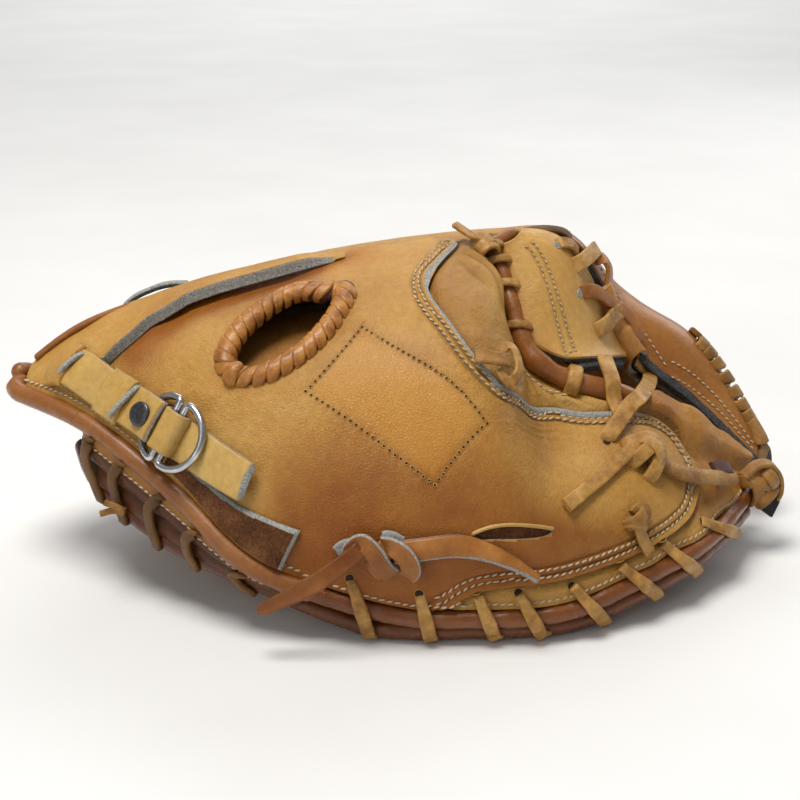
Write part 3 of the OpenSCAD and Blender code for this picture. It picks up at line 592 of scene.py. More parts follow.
def closed_leather(name, outer, inner, materials, band=None, **attributes):
    """Closed leather from two matching grids of points, with its skin, cut edge and under side.

    Where a band is marked, the cut edge also shows on the skin.
    """
    nu, nv = outer.shape[:2]
    count = nu * nv
    top = grid_quads(nu, nv)
    under = top[:, ::-1] + count
    rim = np.concatenate([np.arange(nu) * nv, (nu - 1) * nv + np.arange(1, nv),
                          np.arange(nu - 2, -1, -1) * nv + nv - 1, np.arange(nv - 2, 0, -1)])
    after = np.roll(rim, -1)
    sides = np.stack([after, rim, rim + count, after + count], 1)
    which = np.concatenate([np.zeros(len(top)), np.full(len(sides), 1), np.full(len(under), 2)])
    if band is not None:
        which[:len(top)] = np.asarray(band).ravel()[top].all(axis=1)
    verts = np.concatenate([outer.reshape(-1, 3), inner.reshape(-1, 3)])
    doubled = {k: np.concatenate([np.ravel(v), np.ravel(v)]) for k, v in attributes.items()}
    return make_piece(name, verts, np.concatenate([top, sides, under]), materials, which, **doubled)


def side_distances(points):
    """How far each point of a grid is from its four sides, in millimetres."""
    def along(axis):
        steps = np.linalg.norm(np.diff(points, axis=axis), axis=-1) / MM
        s = np.insert(np.cumsum(steps, axis=axis), 0, 0, axis=axis)
        total = s[-1:, :] if axis == 0 else s[:, -1:]
        return s, total - s
    first, last = along(0)
    low, high = along(1)
    return {"first": first, "last": last, "low": low, "high": high}


def edge_distance(points):
    """How far each point of a grid is from the grid's nearest side, along its lines."""
    return np.min(list(side_distances(points).values()), axis=0) * MM


def raw_band(sides, widths):
    """Where cut leather shows on the skin, and how far it slopes down, for a width at each named side."""
    band = np.zeros(sides["low"].shape, bool)
    drop = np.zeros(sides["low"].shape)
    for side, width in widths.items():
        band |= sides[side] < width
        drop = np.maximum(drop, min(0.5 * width, 1.3) * ease(1 - sides[side] / (width * 1.15)))
    return band, drop


def rounded(distance, radius):
    """How far the surface drops near an edge that is rounded over, in the units of radius."""
    x = np.clip(1 - distance / radius, 0, 1)
    return radius * (1 - np.sqrt(1 - x * x))


def tangents(path):
    return unit(np.gradient(path, axis=0))


def swept(path, normals, radius, sides, flat, ends, swell):
    """A roll along a path with domed ends: its points and faces. Flat squeezes it along the normals."""
    path = np.asarray(path, float)
    t = tangents(path)
    n = unit(normals - t * np.sum(normals * t, -1, keepdims=True))
    b = np.cross(n, t)
    radius = np.broadcast_to(np.asarray(radius, float), (len(path),))
    dome = np.linspace(math.pi / 2, 0, ends, endpoint=False)
    def capped(first, sign):
        r = radius[first]
        order = dome if sign < 0 else dome[::-1]
        return ([path[first] + sign * t[first] * r * math.sin(a) for a in order],
                [r * max(math.cos(a), 0.02) for a in order])
    head, head_r = capped(0, -1)
    tail, tail_r = capped(-1, 1)
    centre = np.concatenate([head, path, tail])
    size = np.concatenate([head_r, radius, tail_r])
    n = np.concatenate([np.repeat(n[:1], ends, 0), n, np.repeat(n[-1:], ends, 0)])
    b = np.concatenate([np.repeat(b[:1], ends, 0), b, np.repeat(b[-1:], ends, 0)])
    angle = np.linspace(0, 2 * math.pi, sides, endpoint=False)
    ring = (np.cos(angle)[None, :, None] * b[:, None, :]
            + flat * np.sin(angle)[None, :, None] * n[:, None, :])
    size = size[:, None] * (1 + swell(centre, angle))
    verts = (centre[:, None, :] + ring * size[..., None]).reshape(-1, 3)
    count = len(centre)
    i, k = np.meshgrid(np.arange(count - 1), np.arange(sides), indexing="ij")
    a = (i * sides + k).ravel()
    a2 = (i * sides + (k + 1) % sides).ravel()
    faces = [list(f) for f in np.stack([a, a2, a2 + sides, a + sides], 1)]
    faces.append(list(range(sides - 1, -1, -1)))
    faces.append([(count - 1) * sides + k for k in range(sides)])
    return verts, faces


# Trees that sew, lace and punch along lines


def node_tree(name, inputs):
    tree = bpy.data.node_groups.new(name, "GeometryNodeTree")
    tree.interface.new_socket("Geometry", in_out="INPUT", socket_type="NodeSocketGeometry")
    for label, (kind, value) in inputs.items():
        socket = tree.interface.new_socket(label, in_out="INPUT", socket_type=kind)
        if value is not None:
            socket.default_value = value
    tree.interface.new_socket("Geometry", in_out="OUTPUT", socket_type="NodeSocketGeometry")
    given = tree.nodes.new("NodeGroupInput").outputs
    result = tree.nodes.new("NodeGroupOutput").inputs["Geometry"]

    def node(kind, settings=None, **sockets):
        made = tree.nodes.new(kind)
        for key, value in (settings or {}).items():
            setattr(made, key, value)
        for key, value in sockets.items():
            socket = next(s for s in made.inputs if s.enabled and s.name == key.replace("_", " "))
            if isinstance(value, bpy.types.NodeSocket):
                tree.links.new(value, socket)
            else:
                socket.default_value = value
        return made

    return tree, given, result, node


FLOAT = "NodeSocketFloat"
WHOLE = "NodeSocketInt"
FINISH = "NodeSocketMaterial"


def named(node, name, kind):
    made = node("GeometryNodeInputNamedAttribute", {"data_type": kind}, Name=name)
    return next(s for s in made.outputs if s.enabled and s.name == "Attribute")


def spaced(node, given):
    """Points at an even pitch along the lines, and how a thing that lies on the leather is turned there."""
    line = node("GeometryNodeMeshToCurve", Mesh=given["Geometry"]).outputs["Curve"]
    points = node("GeometryNodeCurveToPoints", {"mode": "LENGTH"}, Curve=line, Length=given["Pitch"])
    turn = node("FunctionNodeAxesToRotation", {"primary_axis": "Z", "secondary_axis": "X"},
                Primary_Axis=named(node, "lie", "FLOAT_VECTOR"), Secondary_Axis=points.outputs["Tangent"])
    return points.outputs["Points"], turn.outputs[0]


def stitch_tree():
    """Slanted stitches at an even pitch along each line, lying on the leather."""
    tree, given, result, node = node_tree("stitch_rows", {
        "Pitch": (FLOAT, 2.9 * MM), "Length": (FLOAT, 2.3 * MM), "Thickness": (FLOAT, 0.8 * MM),
        "Slant": (FLOAT, 0.16), "Seed": (WHOLE, 4), "Thread": (FINISH, None)})
    points, turn = spaced(node, given)
    chance = node("FunctionNodeRandomValue", {"data_type": "FLOAT"}, Min=0.5, Max=1.5, Seed=given["Seed"])
    lean = node("ShaderNodeMath", {"operation": "MULTIPLY"})
    tree.links.new(next(s for s in chance.outputs if s.enabled), lean.inputs[0])
    tree.links.new(given["Slant"], lean.inputs[1])
    about = node("ShaderNodeCombineXYZ", Z=lean.outputs[0])
    spin = node("FunctionNodeEulerToRotation", Euler=about.outputs[0])
    turned = node("FunctionNodeRotateRotation", {"rotation_space": "LOCAL"}, Rotation=turn,
                  Rotate_By=spin.outputs[0])
    size = node("ShaderNodeCombineXYZ", X=given["Length"], Y=given["Thickness"], Z=given["Thickness"])
    bead = node("GeometryNodeMeshUVSphere", Segments=6, Rings=5, Radius=0.5).outputs["Mesh"]
    sewn = node("GeometryNodeInstanceOnPoints", Points=points, Instance=bead, Rotation=turned.outputs[0],
                Scale=size.outputs[0])
    solid = node("GeometryNodeRealizeInstances", Geometry=sewn.outputs[0])
    smooth = node("GeometryNodeSetShadeSmooth", Geometry=solid.outputs[0])
    tree.links.new(node("GeometryNodeSetMaterial", Geometry=smooth.outputs[0],
                        Material=given["Thread"]).outputs[0], result)
    return tree


def hole_tree():
    """Punched holes at an even pitch along each line: a dark pit with a pressed lip."""
    tree, given, result, node = node_tree("punched_holes", {
        "Pitch": (FLOAT, 2.5 * MM), "Radius": (FLOAT, 0.55 * MM), "Lip": (FLOAT, 0.2 * MM),
        "Pit": (FINISH, None), "Leather": (FINISH, None)})
    points, turn = spaced(node, given)
    pit = node("GeometryNodeMeshCylinder", Vertices=10, Radius=given["Radius"],
               Depth=0.16 * MM).outputs["Mesh"]
    pit = node("GeometryNodeSetMaterial", Geometry=pit, Material=given["Pit"]).outputs[0]
    rim = node("GeometryNodeCurvePrimitiveCircle", Resolution=10, Radius=given["Radius"]).outputs["Curve"]
    bead = node("GeometryNodeCurvePrimitiveCircle", Resolution=5, Radius=given["Lip"]).outputs["Curve"]
    lip = node("GeometryNodeCurveToMesh", Curve=rim, Profile_Curve=bead).outputs["Mesh"]
    lip = node("GeometryNodeSetMaterial", Geometry=lip, Material=given["Leather"]).outputs[0]
    both = node("GeometryNodeJoinGeometry")
    tree.links.new(pit, both.inputs[0])
    tree.links.new(lip, both.inputs[0])
    punched = node("GeometryNodeInstanceOnPoints", Points=points, Instance=both.outputs[0], Rotation=turn)
    solid = node("GeometryNodeRealizeInstances", Geometry=punched.outputs[0])
    tree.links.new(node("GeometryNodeSetShadeSmooth", Geometry=solid.outputs[0]).outputs[0], result)
    return tree


def lace_tree():
    """A flat lace with rounded edges along each line, its flat side towards lie and narrowed by taper."""
    tree, given, result, node = node_tree("lace_runs", {
        "Width": (FLOAT, 5.2 * MM), "Thickness": (FLOAT, 1.5 * MM), "Rounding": (FLOAT, 0.5 * MM),
        "Leather": (FINISH, None)})
    line = node("GeometryNodeMeshToCurve", Mesh=given["Geometry"]).outputs["Curve"]
    lying = node("GeometryNodeSetCurveNormal", {"mode": "FREE"}, Curve=line,
                 Normal=named(node, "lie", "FLOAT_VECTOR"))
    strip = node("GeometryNodeCurvePrimitiveQuadrilateral", {"mode": "RECTANGLE"}, Width=given["Thickness"],
                 Height=given["Width"])
    soft = node("GeometryNodeFilletCurve", {"mode": "POLY"}, Curve=strip.outputs[0], Count=3,
                Radius=given["Rounding"], Limit_Radius=True)
    lace = node("GeometryNodeCurveToMesh", Curve=lying.outputs[0], Profile_Curve=soft.outputs[0],
                Scale=named(node, "taper", "FLOAT"), Fill_Caps=True)
    smooth = node("GeometryNodeSetShadeSmooth", Geometry=lace.outputs[0])
    solid = node("GeometryNodeRealizeInstances", Geometry=smooth.outputs[0])
    tree.links.new(node("GeometryNodeSetMaterial", Geometry=solid.outputs[0],
                        Material=given["Leather"]).outputs[0], result)
    return tree


STITCHES = stitch_tree()
HOLES = hole_tree()
LACES = lace_tree()


def grown(name, tree, lines, values):
    """Runs a tree along lines and keeps the result as a plain mesh. A line is its points, lies and tapers."""
    points = np.concatenate([np.asarray(p) for p, _, _ in lines])
    lies = np.concatenate([np.broadcast_to(n, np.shape(p)) for p, n, _ in lines])
    tapers = np.concatenate([np.broadcast_to(t, len(p)) for p, _, t in lines])
    edges = []
    first = 0
    for p, _, _ in lines:
        edges += [(first + k, first + k + 1) for k in range(len(p) - 1)]
        first += len(p)
    mesh = bpy.data.meshes.new(name + "_lines")
    mesh.from_pydata(points.tolist(), edges, [])
    lie_layer = mesh.attributes.new("lie", "FLOAT_VECTOR", "POINT")
    lie_layer.data.foreach_set("vector", unit(lies).astype(np.float32).ravel())
    taper_layer = mesh.attributes.new("taper", "FLOAT", "POINT")
    taper_layer.data.foreach_set("value", tapers.astype(np.float32))
    source = bpy.data.objects.new(name + "_lines", mesh)
    scene.collection.objects.link(source)
    modifier = source.modifiers.new("tree", "NODES")
    modifier.node_group = tree
    for item in tree.interface.items_tree:
        if item.in_out == "INPUT" and item.name in values:
            modifier[item.identifier] = values[item.name]
    depsgraph = bpy.context.evaluated_depsgraph_get()
    plain = bpy.data.meshes.new_from_object(source.evaluated_get(depsgraph), depsgraph=depsgraph)
    plain.name = name
    for left_over in [a.name for a in plain.attributes if a.name in ("lie", "taper")]:
        plain.attributes.remove(plain.attributes[left_over])
    piece = bpy.data.objects.new(name, plain)
    scene.collection.objects.link(piece)
    bpy.data.objects.remove(source)
    return piece


def sewn(name, rows, **sizes):
    return grown(name, STITCHES, [(p, n, 1.0) for p, n in rows], {"Thread": white_thread, **sizes})


def laced(name, runs, finish, width, thick, rounding):
    values = {"Width": width * MM, "Thickness": thick * MM, "Rounding": rounding * MM, "Leather": finish}
    piece = grown(name, LACES, [(r[0], r[1], r[2] if len(r) > 2 else 1.0) for r in runs], values)
    piece.data.set_sharp_from_angle(angle=math.radians(50))
    return piece


def punched(name, rows, leather_finish, **sizes):
    return grown(name, HOLES, [(p, n, 1.0) for p, n in rows], {"Pit": hole_dark, "Leather": leather_finish,
                                                               **sizes})


def skin_of(*pieces):
    """The surface of pieces, for laying stitches and laces on it."""
    verts = []
    faces = []
    for piece in pieces:
        first = len(verts)
        verts += [v.co.copy() for v in piece.data.vertices]
        faces += [[first + k for k in p.vertices] for p in piece.data.polygons]
    return BVHTree.FromPolygons(verts, faces)


def laid(skin, points, lift=0.0):
    """The nearest places on a skin, raised by a lift in millimetres, and the skin's way up there."""
    places = []
    ways = []
    for p in points:
        spot, way, _, _ = skin.find_nearest(Vector(p))
        places.append(spot + way * lift * MM)
        ways.append(way)
    return np.array(places), np.array(ways)


def uv_line(face, stops, n, lift=1.0):
    """A line over a face through stops of [u, v], at even distances."""
    path = smooth_line(stops, 4 * n)
    return even_line(off(face, *path.T, lift), n)


# Finger half: back panel with its cut-out, finger hole and slot

BINDING_R = 4.0
WELT_R = 3.5
CROTCH_R = 4.3
BACK_T = 2.4

# Where along the rim the heel binding ends and the welts begin
HEEL_END = 3.4

# How far the leather is set in beside them, in millimetres
BINDING_SET_IN = 3.4
WELT_SET_IN = 4.4


def rim_share(u):
    """Where the back panel begins, beside the binding or the welt."""
    u = np.asarray(u, float)
    return from_start(FINGER_ROWS, u, np.where(u < HEEL_END, BINDING_SET_IN, WELT_SET_IN))


# Lines across the back panel, each through a low, a middle and a high place [u, v]; None is its own edge
BACK_LINES = [
    [0.12, None, 0.12, 0.55, 0.12, 0.95], [0.6, None, 0.6, 0.55, 0.6, 0.975],
    [1.2, None, 1.2, 0.55, 1.2, 0.982], [2, None, 2, 0.55, 2, 0.986],
    [2.9, None, 2.9, 0.55, 2.9, 0.99], [3.6, None, 3.6, 0.58, 3.65, 0.99],
    [4, None, 4.05, 0.68, 4.26, 0.99], [4.2, None, 4.22, 0.72, 4.68, 0.98],
    [4.32, None, 4.3, 0.68, 4.53, 0.895], [4.42, None, 4.37, 0.6, 4.395, 0.825],
    [4.52, None, 4.47, 0.45, 4.46, 0.738], [4.68, 0.03, 4.64, 0.36, 4.75, 0.625],
    [4.97, 0.062, 4.93, 0.33, 5.01, 0.574], [5.3, 0.08, 5.22, 0.32, 5.26, 0.588],
    [5.7, 0.097, 5.6, 0.37, 5.69, 0.731], [6.2, 0.117, 6.1, 0.45, 6.17, 0.853],
    [6.7, 0.122, 6.55, 0.49, 6.53, 0.864], [7.1, 0.142, 6.97, 0.54, 6.87, 0.883],
    [7.42, 0.18, 7.36, 0.57, 7.25, 0.935], [7.66, 0.25, 7.66, 0.58, 7.56, 0.9],
    [7.83, 0.42, 7.87, 0.58, 7.8, 0.72]]

# The first of these lines at the cut-out, on its high and its low side
CUT_FROM = 7.0
LOW_CUT_FROM = 10.6

# Stitched rows along the cut-out, in millimetres from its edge
BORDER_ROWS = (3.0, 5.8)


def back_panel_places(ns, nt):
    """A grid of places [u, v] on the back panel, ns lines of nt places."""
    rows = []
    for low_u, low_v, mid_u, mid_v, high_u, high_v in BACK_LINES:
        start_v = float(rim_share(low_u)) if low_v is None else low_v
        rows.append([low_u, start_v, mid_u, mid_v, high_u, high_v])
    lines = through(rows, np.linspace(0, len(rows) - 1, ns))
    t = crowded(nt)[None, :, None] * 2
    low, mid, high = lines[:, None, 0:2], lines[:, None, 2:4], lines[:, None, 4:6]
    first = low + (mid - low) * t
    second = mid + (high - mid) * (t - 1)
    bend = near(t - 1, 0.5)
    straight = np.where(t < 1, first, second)
    pull = 2 * mid - (low + high) / 2
    smooth = low * (1 - t / 2) ** 2 + 2 * pull * (t / 2) * (1 - t / 2) + high * (t / 2) ** 2
    return straight + (smooth - straight) * bend


# The square of needle holes, the wrist flap's free edge and the slot, as places [u, v]
PATCH_CORNERS = [[3.8, 0.676], [5.03, 0.44], [4.5, 0.29], [3.36, 0.485]]
PATCH_SIDES = list(zip(PATCH_CORNERS, PATCH_CORNERS[1:] + PATCH_CORNERS[:1]))
FLAP_EDGE = [[0.16, 0.72], [1.0, 0.66], [1.2, 0.52], [1.27, 0.495], [1.44, 0.61], [1.74, 0.778],
             [2.11, 0.88], [2.4, 0.908], [2.7, 0.926], [3.06, 0.945], [3.35, 0.956], [3.6, 0.966]]
SLOT_ENDS = [[4.93, 0.178], [5.4, 0.222], [5.86, 0.278]]

# The finger hole: its middle, and its half axes
HOLE_AT = np.array([3.1, 0.695])
HOLE_ALONG = np.array([0.48, 0.172])
HOLE_ACROSS = np.array([-0.245, 0.078])


def hole_places(angle, grow=1.0):
    """Places [u, v] on the edge of the finger hole, which is pinched in at one corner."""
    a = np.mod(np.asarray(angle) + math.pi, 2 * math.pi)[..., None] - math.pi
    pinch = near(a - 0.38, 0.55) * np.array([0.0, -0.07])
    return HOLE_AT + grow * (HOLE_ALONG * np.cos(a) + HOLE_ACROSS * np.sin(a) + pinch)


def inside(places, corners):
    """Whether places [u, v] lie inside a ring of corners."""
    x, y = places[..., 0], places[..., 1]
    result = np.zeros(x.shape, bool)
    for (x0, y0), (x1, y1) in zip(corners, corners[1:] + corners[:1]):
        crosses = (y0 > y) != (y1 > y)
        result ^= crosses & (x < (x1 - x0) * (y - y0) / ((y1 - y0) or 1e-9) + x0)
    return result


def prism(name, rim, normals, up, down):
    """A closed cutter through the leather along a ring of points."""
    top = rim + normals * up * MM
    low = rim - normals * down * MM
    m = len(rim)
    faces = [list(range(m)), list(range(2 * m - 1, m - 1, -1))]
    faces += [[k, k + m, (k + 1) % m + m, (k + 1) % m] for k in range(m)]
    return make_piece(name, np.concatenate([top, low]), faces, [raw_grey])


def cut_by(piece, cutters):
    """Cuts openings through a piece and leaves it a plain mesh."""
    for cutter in cutters:
        modifier = piece.modifiers.new("opening", "BOOLEAN")
        modifier.operation = "DIFFERENCE"
        modifier.solver = "EXACT"
        modifier.material_mode = "TRANSFER"
        modifier.object = cutter
    depsgraph = bpy.context.evaluated_depsgraph_get()
    mesh = bpy.data.meshes.new_from_object(piece.evaluated_get(depsgraph), depsgraph=depsgraph)
    piece.modifiers.clear()
    mesh.name = piece.name
    piece.data = mesh
    for cutter in cutters:
        bpy.data.objects.remove(cutter)


def make_finger_back():
    """The back panel, and what the leather, stitches and laces round it are laid by.

    That is its skin, the border of the cut-out with its ways up, and its outline as places [u, v].
    """
    ns, nt = 210, 96
    places = back_panel_places(ns, nt)
    u, v = places[..., 0], places[..., 1]
    base = finger_back(u, v)
    way = face_normal(finger_back, u, v)
    edge = edge_distance(base) / MM
    cut_row = int(ns * CUT_FROM / (len(BACK_LINES) - 1))
    rim_line = base[cut_row:, -1]
    low_row = int(ns * LOW_CUT_FROM / (len(BACK_LINES) - 1))
    def round_border(grid):
        return np.concatenate([grid[cut_row:, -1], grid[-1, ::-1][1:-1], grid[low_row:, 0][::-1]])
    border = round_border(base)
    from_border = distance_to(base, border[::3]) / MM
    from_rim = distance_to(base, rim_line[::2]) / MM
    seam = sum(near(from_border - r, 0.75) for r in BORDER_ROWS)
    lift = 0.35 - 0.55 * seam + 0.75 * near(from_border, 2.2) + 0.45 * near(from_border - 4.4, 0.9)
    lift = lift + 0.7 * soft_noise(base, 0.034, 1) + 0.22 * soft_noise(base, 0.011, 2)
    beside = near(from_rim - 11, 6) * ease((u - 4.3) / 0.4) * ease((6.7 - u) / 0.5)
    waves = np.sin(from_rim * 1.9 + 3.4 * soft_noise(base, 0.013, 3))
    wrinkles = waves * ease(soft_noise(base, 0.012, 4) + 0.35)
    low_cut = ease((u - 4.75) / 0.3) * ease((7.0 - u) / 0.3)
    raw_width = 1.6 + 1.1 * low_cut
    ridge = ease((v - 0.9) / 0.09) * ease((u - 3.2) / 0.4) * ease((4.7 - u) / 0.3)
    lift = lift + 0.45 * beside * wrinkles - (1.0 - 0.8 * low_cut) * ease(1 - from_rim / 1.8) + 1.6 * ridge
    hole_line = finger_back(*hole_places(np.linspace(0, 2 * math.pi, 60)).T)
    from_hole = distance_to(base, hole_line) / MM
    crinkled = near(from_hole - 8, 6) * (1 + 1.6 * ease((3.1 - u) / 0.4) * ease((0.62 - v) / 0.15))
    lift = lift + 0.42 * crinkled * soft_noise(base, 0.0045, 5)
    flap_line = uv_line(finger_back, FLAP_EDGE[2:], 60, 0)
    from_flap = distance_to(base, flap_line) / MM
    flap_middle = ease((u - 1.7) / 0.3) * ease((3.3 - u) / 0.3)
    lift = lift - 1.6 * near(from_flap, 7) - 1.8 * near(from_flap, 11) * flap_middle
    patch_line = np.concatenate([finger_back(*np.linspace(a, b, 24).T) for a, b in PATCH_SIDES])
    from_patch = distance_to(base, patch_line) / MM
    lift = lift - 0.35 * near(from_patch, 1.1)
    outer = moved(base, way, lift - rounded(edge, 0.7))
    inner = moved(base, way, np.minimum(-BACK_T, lift - 1.2) + rounded(edge, 0.5))
    # Painted shadow: how near a place is to the hollow under the wrist flap's free edge.
    flap_shadow = near(from_flap, 13)
    worn = np.clip(0.35 + 0.9 * crinkled + 0.8 * beside + 0.5 * flap_shadow
                   - 0.9 * inside(places, PATCH_CORNERS), 0, 1)
    # Painted shade: the low front faces away from the ceiling lamp. It and the hollow under the flap are
    # darkened and tinted warm; the leather is also soiled in patches and darker round the finger hole and near
    # the rim.
    low_front_shade = ease((0.5 - v) / 0.4) * ease((u - 2.8) / 0.9) * ease((7.4 - u) / 1.4)
    soil = (1.8 * low_front_shade * (1 + 0.4 * soft_noise(base, 0.025, 9)) + 0.4 * near(from_hole, 6)
            + 0.3 * ease(soft_noise(base, 0.03, 8) - 0.2) + 0.3 * near(rim_distance(u, v), 9)
            + 2.2 * flap_shadow * ease((u - 1.3) / 0.4) * ease((3.5 - u) / 0.3))
    gold = 0.75 * inside(places, PATCH_CORNERS) * ease(from_patch / 4)
    # Seams and the square of needle holes are darkened, and a painted shadow runs just under the flap's free
    # edge.
    dark = (np.clip(seam, 0, 1) * 0.8 + 0.3 * near(from_patch, 0.8)
            + 0.6 * near(from_flap, 4) * ease((u - 1.2) / 0.2))
    amber = low_front_shade * ease((6.3 - u) / 1.2) + flap_shadow * ease((u - 1.3) / 0.4)
    panel = closed_leather("finger_back", outer, inner, [tan, raw_grey, flesh], from_rim < raw_width,
                           seam=dark, soil=np.clip(soil, 0, 1), gold=gold, worn=worn,
                           amber=np.clip(amber, 0, 1))
    skin = skin_of(panel)
    places_round = np.concatenate([places[:, -1], places[-1, ::-1], places[::-1, 0]])[::3].tolist()
    angle = np.linspace(0, 2 * math.pi, 64, endpoint=False)
    ring = hole_places(angle, 0.92)
    cutters = [prism("hole_cutter", finger_back(*ring.T), face_normal(finger_back, *ring.T), 9, 9)]
    cutters.append(slot_cutter())
    cut_by(panel, cutters)
    belongs(panel, "finger_half", "finger_back_panel", slot="tan_leather")
    return panel, skin, border, round_border(way), places_round


def rim_distance(u, v):
    """Rough distance from the rim of the finger half, in millimetres."""
    return v * 3 * through(FINGER_ROWS, u)[..., 4]


def slot_cutter():
    """A cutter for the slot, widest in its middle."""
    line = uv_line(finger_back, SLOT_ENDS, 24, 0)
    path = smooth_line(SLOT_ENDS, 24)
    way = face_normal(finger_back, *path.T)
    across = unit(np.cross(way, tangents(line)))
    share = np.linspace(0, 1, 24)
    half = 2.3 * np.sqrt(np.clip(np.sin(math.pi * share), 0, 1))[:, None] * MM + 0.0002
    rim = np.concatenate([line - across * half, (line + across * half)[::-1]])
    ways = np.concatenate([way, way[::-1]])
    return prism("slot_cutter", rim, ways, 5, 5)


def inset(line, ways, skin, distance, n, lift=0.2):
    """A row on a skin, set in from a border line by a distance in millimetres."""
    both = even_line(np.concatenate([line, ways], 1), n)
    line, way = both[:, :3], unit(both[:, 3:])
    inward = unit(np.cross(tangents(line), way))
    return laid(skin, line + inward * distance * MM + way * MM, lift)


# Plates, straps and rolls


def flipped(face):
    """The same face seen from its other side."""
    return lambda u, v: face(u, 1 - np.asarray(v, float))


def plate(name, face, us, low, high, top, under, materials, nt=40, lumps=((0.4, 0.03), (0.12, 0.009)),
          edge=0.7, grooves=(), shape=None, soil=0.0, seed=0, raw=None, raw_where=None, worn=0.0):
    """Leather on a face: us along it, between a low and a high edge in v, from one lift to another in mm.

    Edges, lifts, and soil with painted shade, are numbers or functions of the place.
    """
    us = np.asarray(us, float)
    lo, hi = (np.broadcast_to(f(us) if callable(f) else f, us.shape)[:, None] for f in (low, high))
    v = lo + (hi - lo) * crowded(nt)[None]
    u = np.repeat(us[:, None], nt, 1)
    base = face(u, v)
    way = face_normal(face, u, v)
    side = edge_distance(base) / MM
    band, drop = raw_band(side_distances(base), raw or {})
    if raw_where is not None:
        band &= raw_where(u)
        drop = drop * raw_where(u)
    lift = np.broadcast_to(top(u, v) if callable(top) else top, u.shape).astype(float)
    for k, (height, size) in enumerate(lumps):
        lift = lift + height * soft_noise(base, size, seed + k)
    dark = np.zeros(u.shape)
    for line, depth, width in grooves:
        groove = near(distance_to(base, line) / MM, width)
        lift = lift - depth * groove
        dark = dark + 0.7 * groove
    if shape is not None:
        lift = lift + shape(u, v, base)
    lift = lift - drop
    floor = np.broadcast_to(under(u, v) if callable(under) else under, u.shape)
    outer = moved(base, way, lift - rounded(side, edge))
    inner = moved(base, way, np.minimum(floor, lift - 0.4) + rounded(side, 0.4))
    shade_and_stain = np.clip(soil(u, v, base) if callable(soil) else soil + 0 * u, 0, 1)
    return closed_leather(name, outer, inner, materials, band, seam=np.clip(dark, 0, 1), soil=shade_and_stain,
                          worn=worn + 0 * u)


def strap(name, path, ways, width, thick, materials, bow=0.0, wear=0.15, taper=None, nv=21, seed=0,
          raw=None, soil=0.0, worn=0.0):
    """A wide strip along a path, its skin towards ways, with a raw cut edge all round."""
    path = np.asarray(path, float)
    t = tangents(path)
    n = unit(ways - t * np.sum(ways * t, -1, keepdims=True))
    b = np.cross(n, t)
    share = crowded(nv) * 2 - 1
    wide = np.broadcast_to(1.0 if taper is None else taper, len(path))[:, None, None]
    spread = path[:, None] + b[:, None] * (share[None, :, None] * wide * width * MM / 2)
    bend = (bow * (share ** 2 - 1))[None, :] + wear * soft_noise(spread, 0.008, seed)
    side = edge_distance(spread) / MM
    band, drop = raw_band(side_distances(spread), raw or {})
    outer = moved(spread, n[:, None], thick / 2 + bend - drop - rounded(side, thick * 0.35))
    inner = moved(spread, n[:, None], -thick / 2 + bend + rounded(side, thick * 0.2))
    dark = 0.25 * near(side, 0.8)
    return closed_leather(name, outer[:, ::-1], inner[:, ::-1], materials, band[:, ::-1],
                          seam=dark[:, ::-1], soil=soil + 0 * dark, worn=worn + 0 * dark)


def roll(name, path, ways, radius, finish, pinches=None, wrinkle=0.04, sides=26, flat=1.0, ends=5,
         soil=None):
    """A stuffed roll of leather, drawn in where laces cross it."""
    def swell(centre, angle):
        size = wrinkle * soft_noise(centre, 0.014, 31)[:, None] + 0 * angle[None]
        if pinches is not None:
            far = np.min(np.linalg.norm(centre[:, None] - np.asarray(pinches)[None], axis=-1), axis=1) / MM
            size = size - 0.1 * near(far, 3.2)[:, None] + 0.05 * near(far - 5.5, 2.5)[:, None]
        return size
    verts, faces = swept(path, ways, np.asarray(radius) * MM, sides, flat, ends, swell)
    shade_and_stain = np.zeros(len(verts)) if soil is None else np.clip(soil(np.asarray(verts)), 0, 1)
    return make_piece(name, verts, faces, [finish], soil=shade_and_stain)


def edge_path(face, v, u_from, u_to, n, out):
    """A path along the edge of a face, and the face's way up along it."""
    us = np.linspace(u_from, u_to, n)
    return off(face, us, v, out), face_normal(face, us, v + 0 * us)


def over_face(face, stops, n=24):
    """A path over a face through stops of [u, v, lift], and the face's way up along it."""
    path = smooth_line(stops, n)
    return off(face, *path.T), face_normal(face, *path.T[:2])


# Finger half: soft leather under the back panel


# Where along the back the crotch tube begins
TUBE_FROM = 5.05


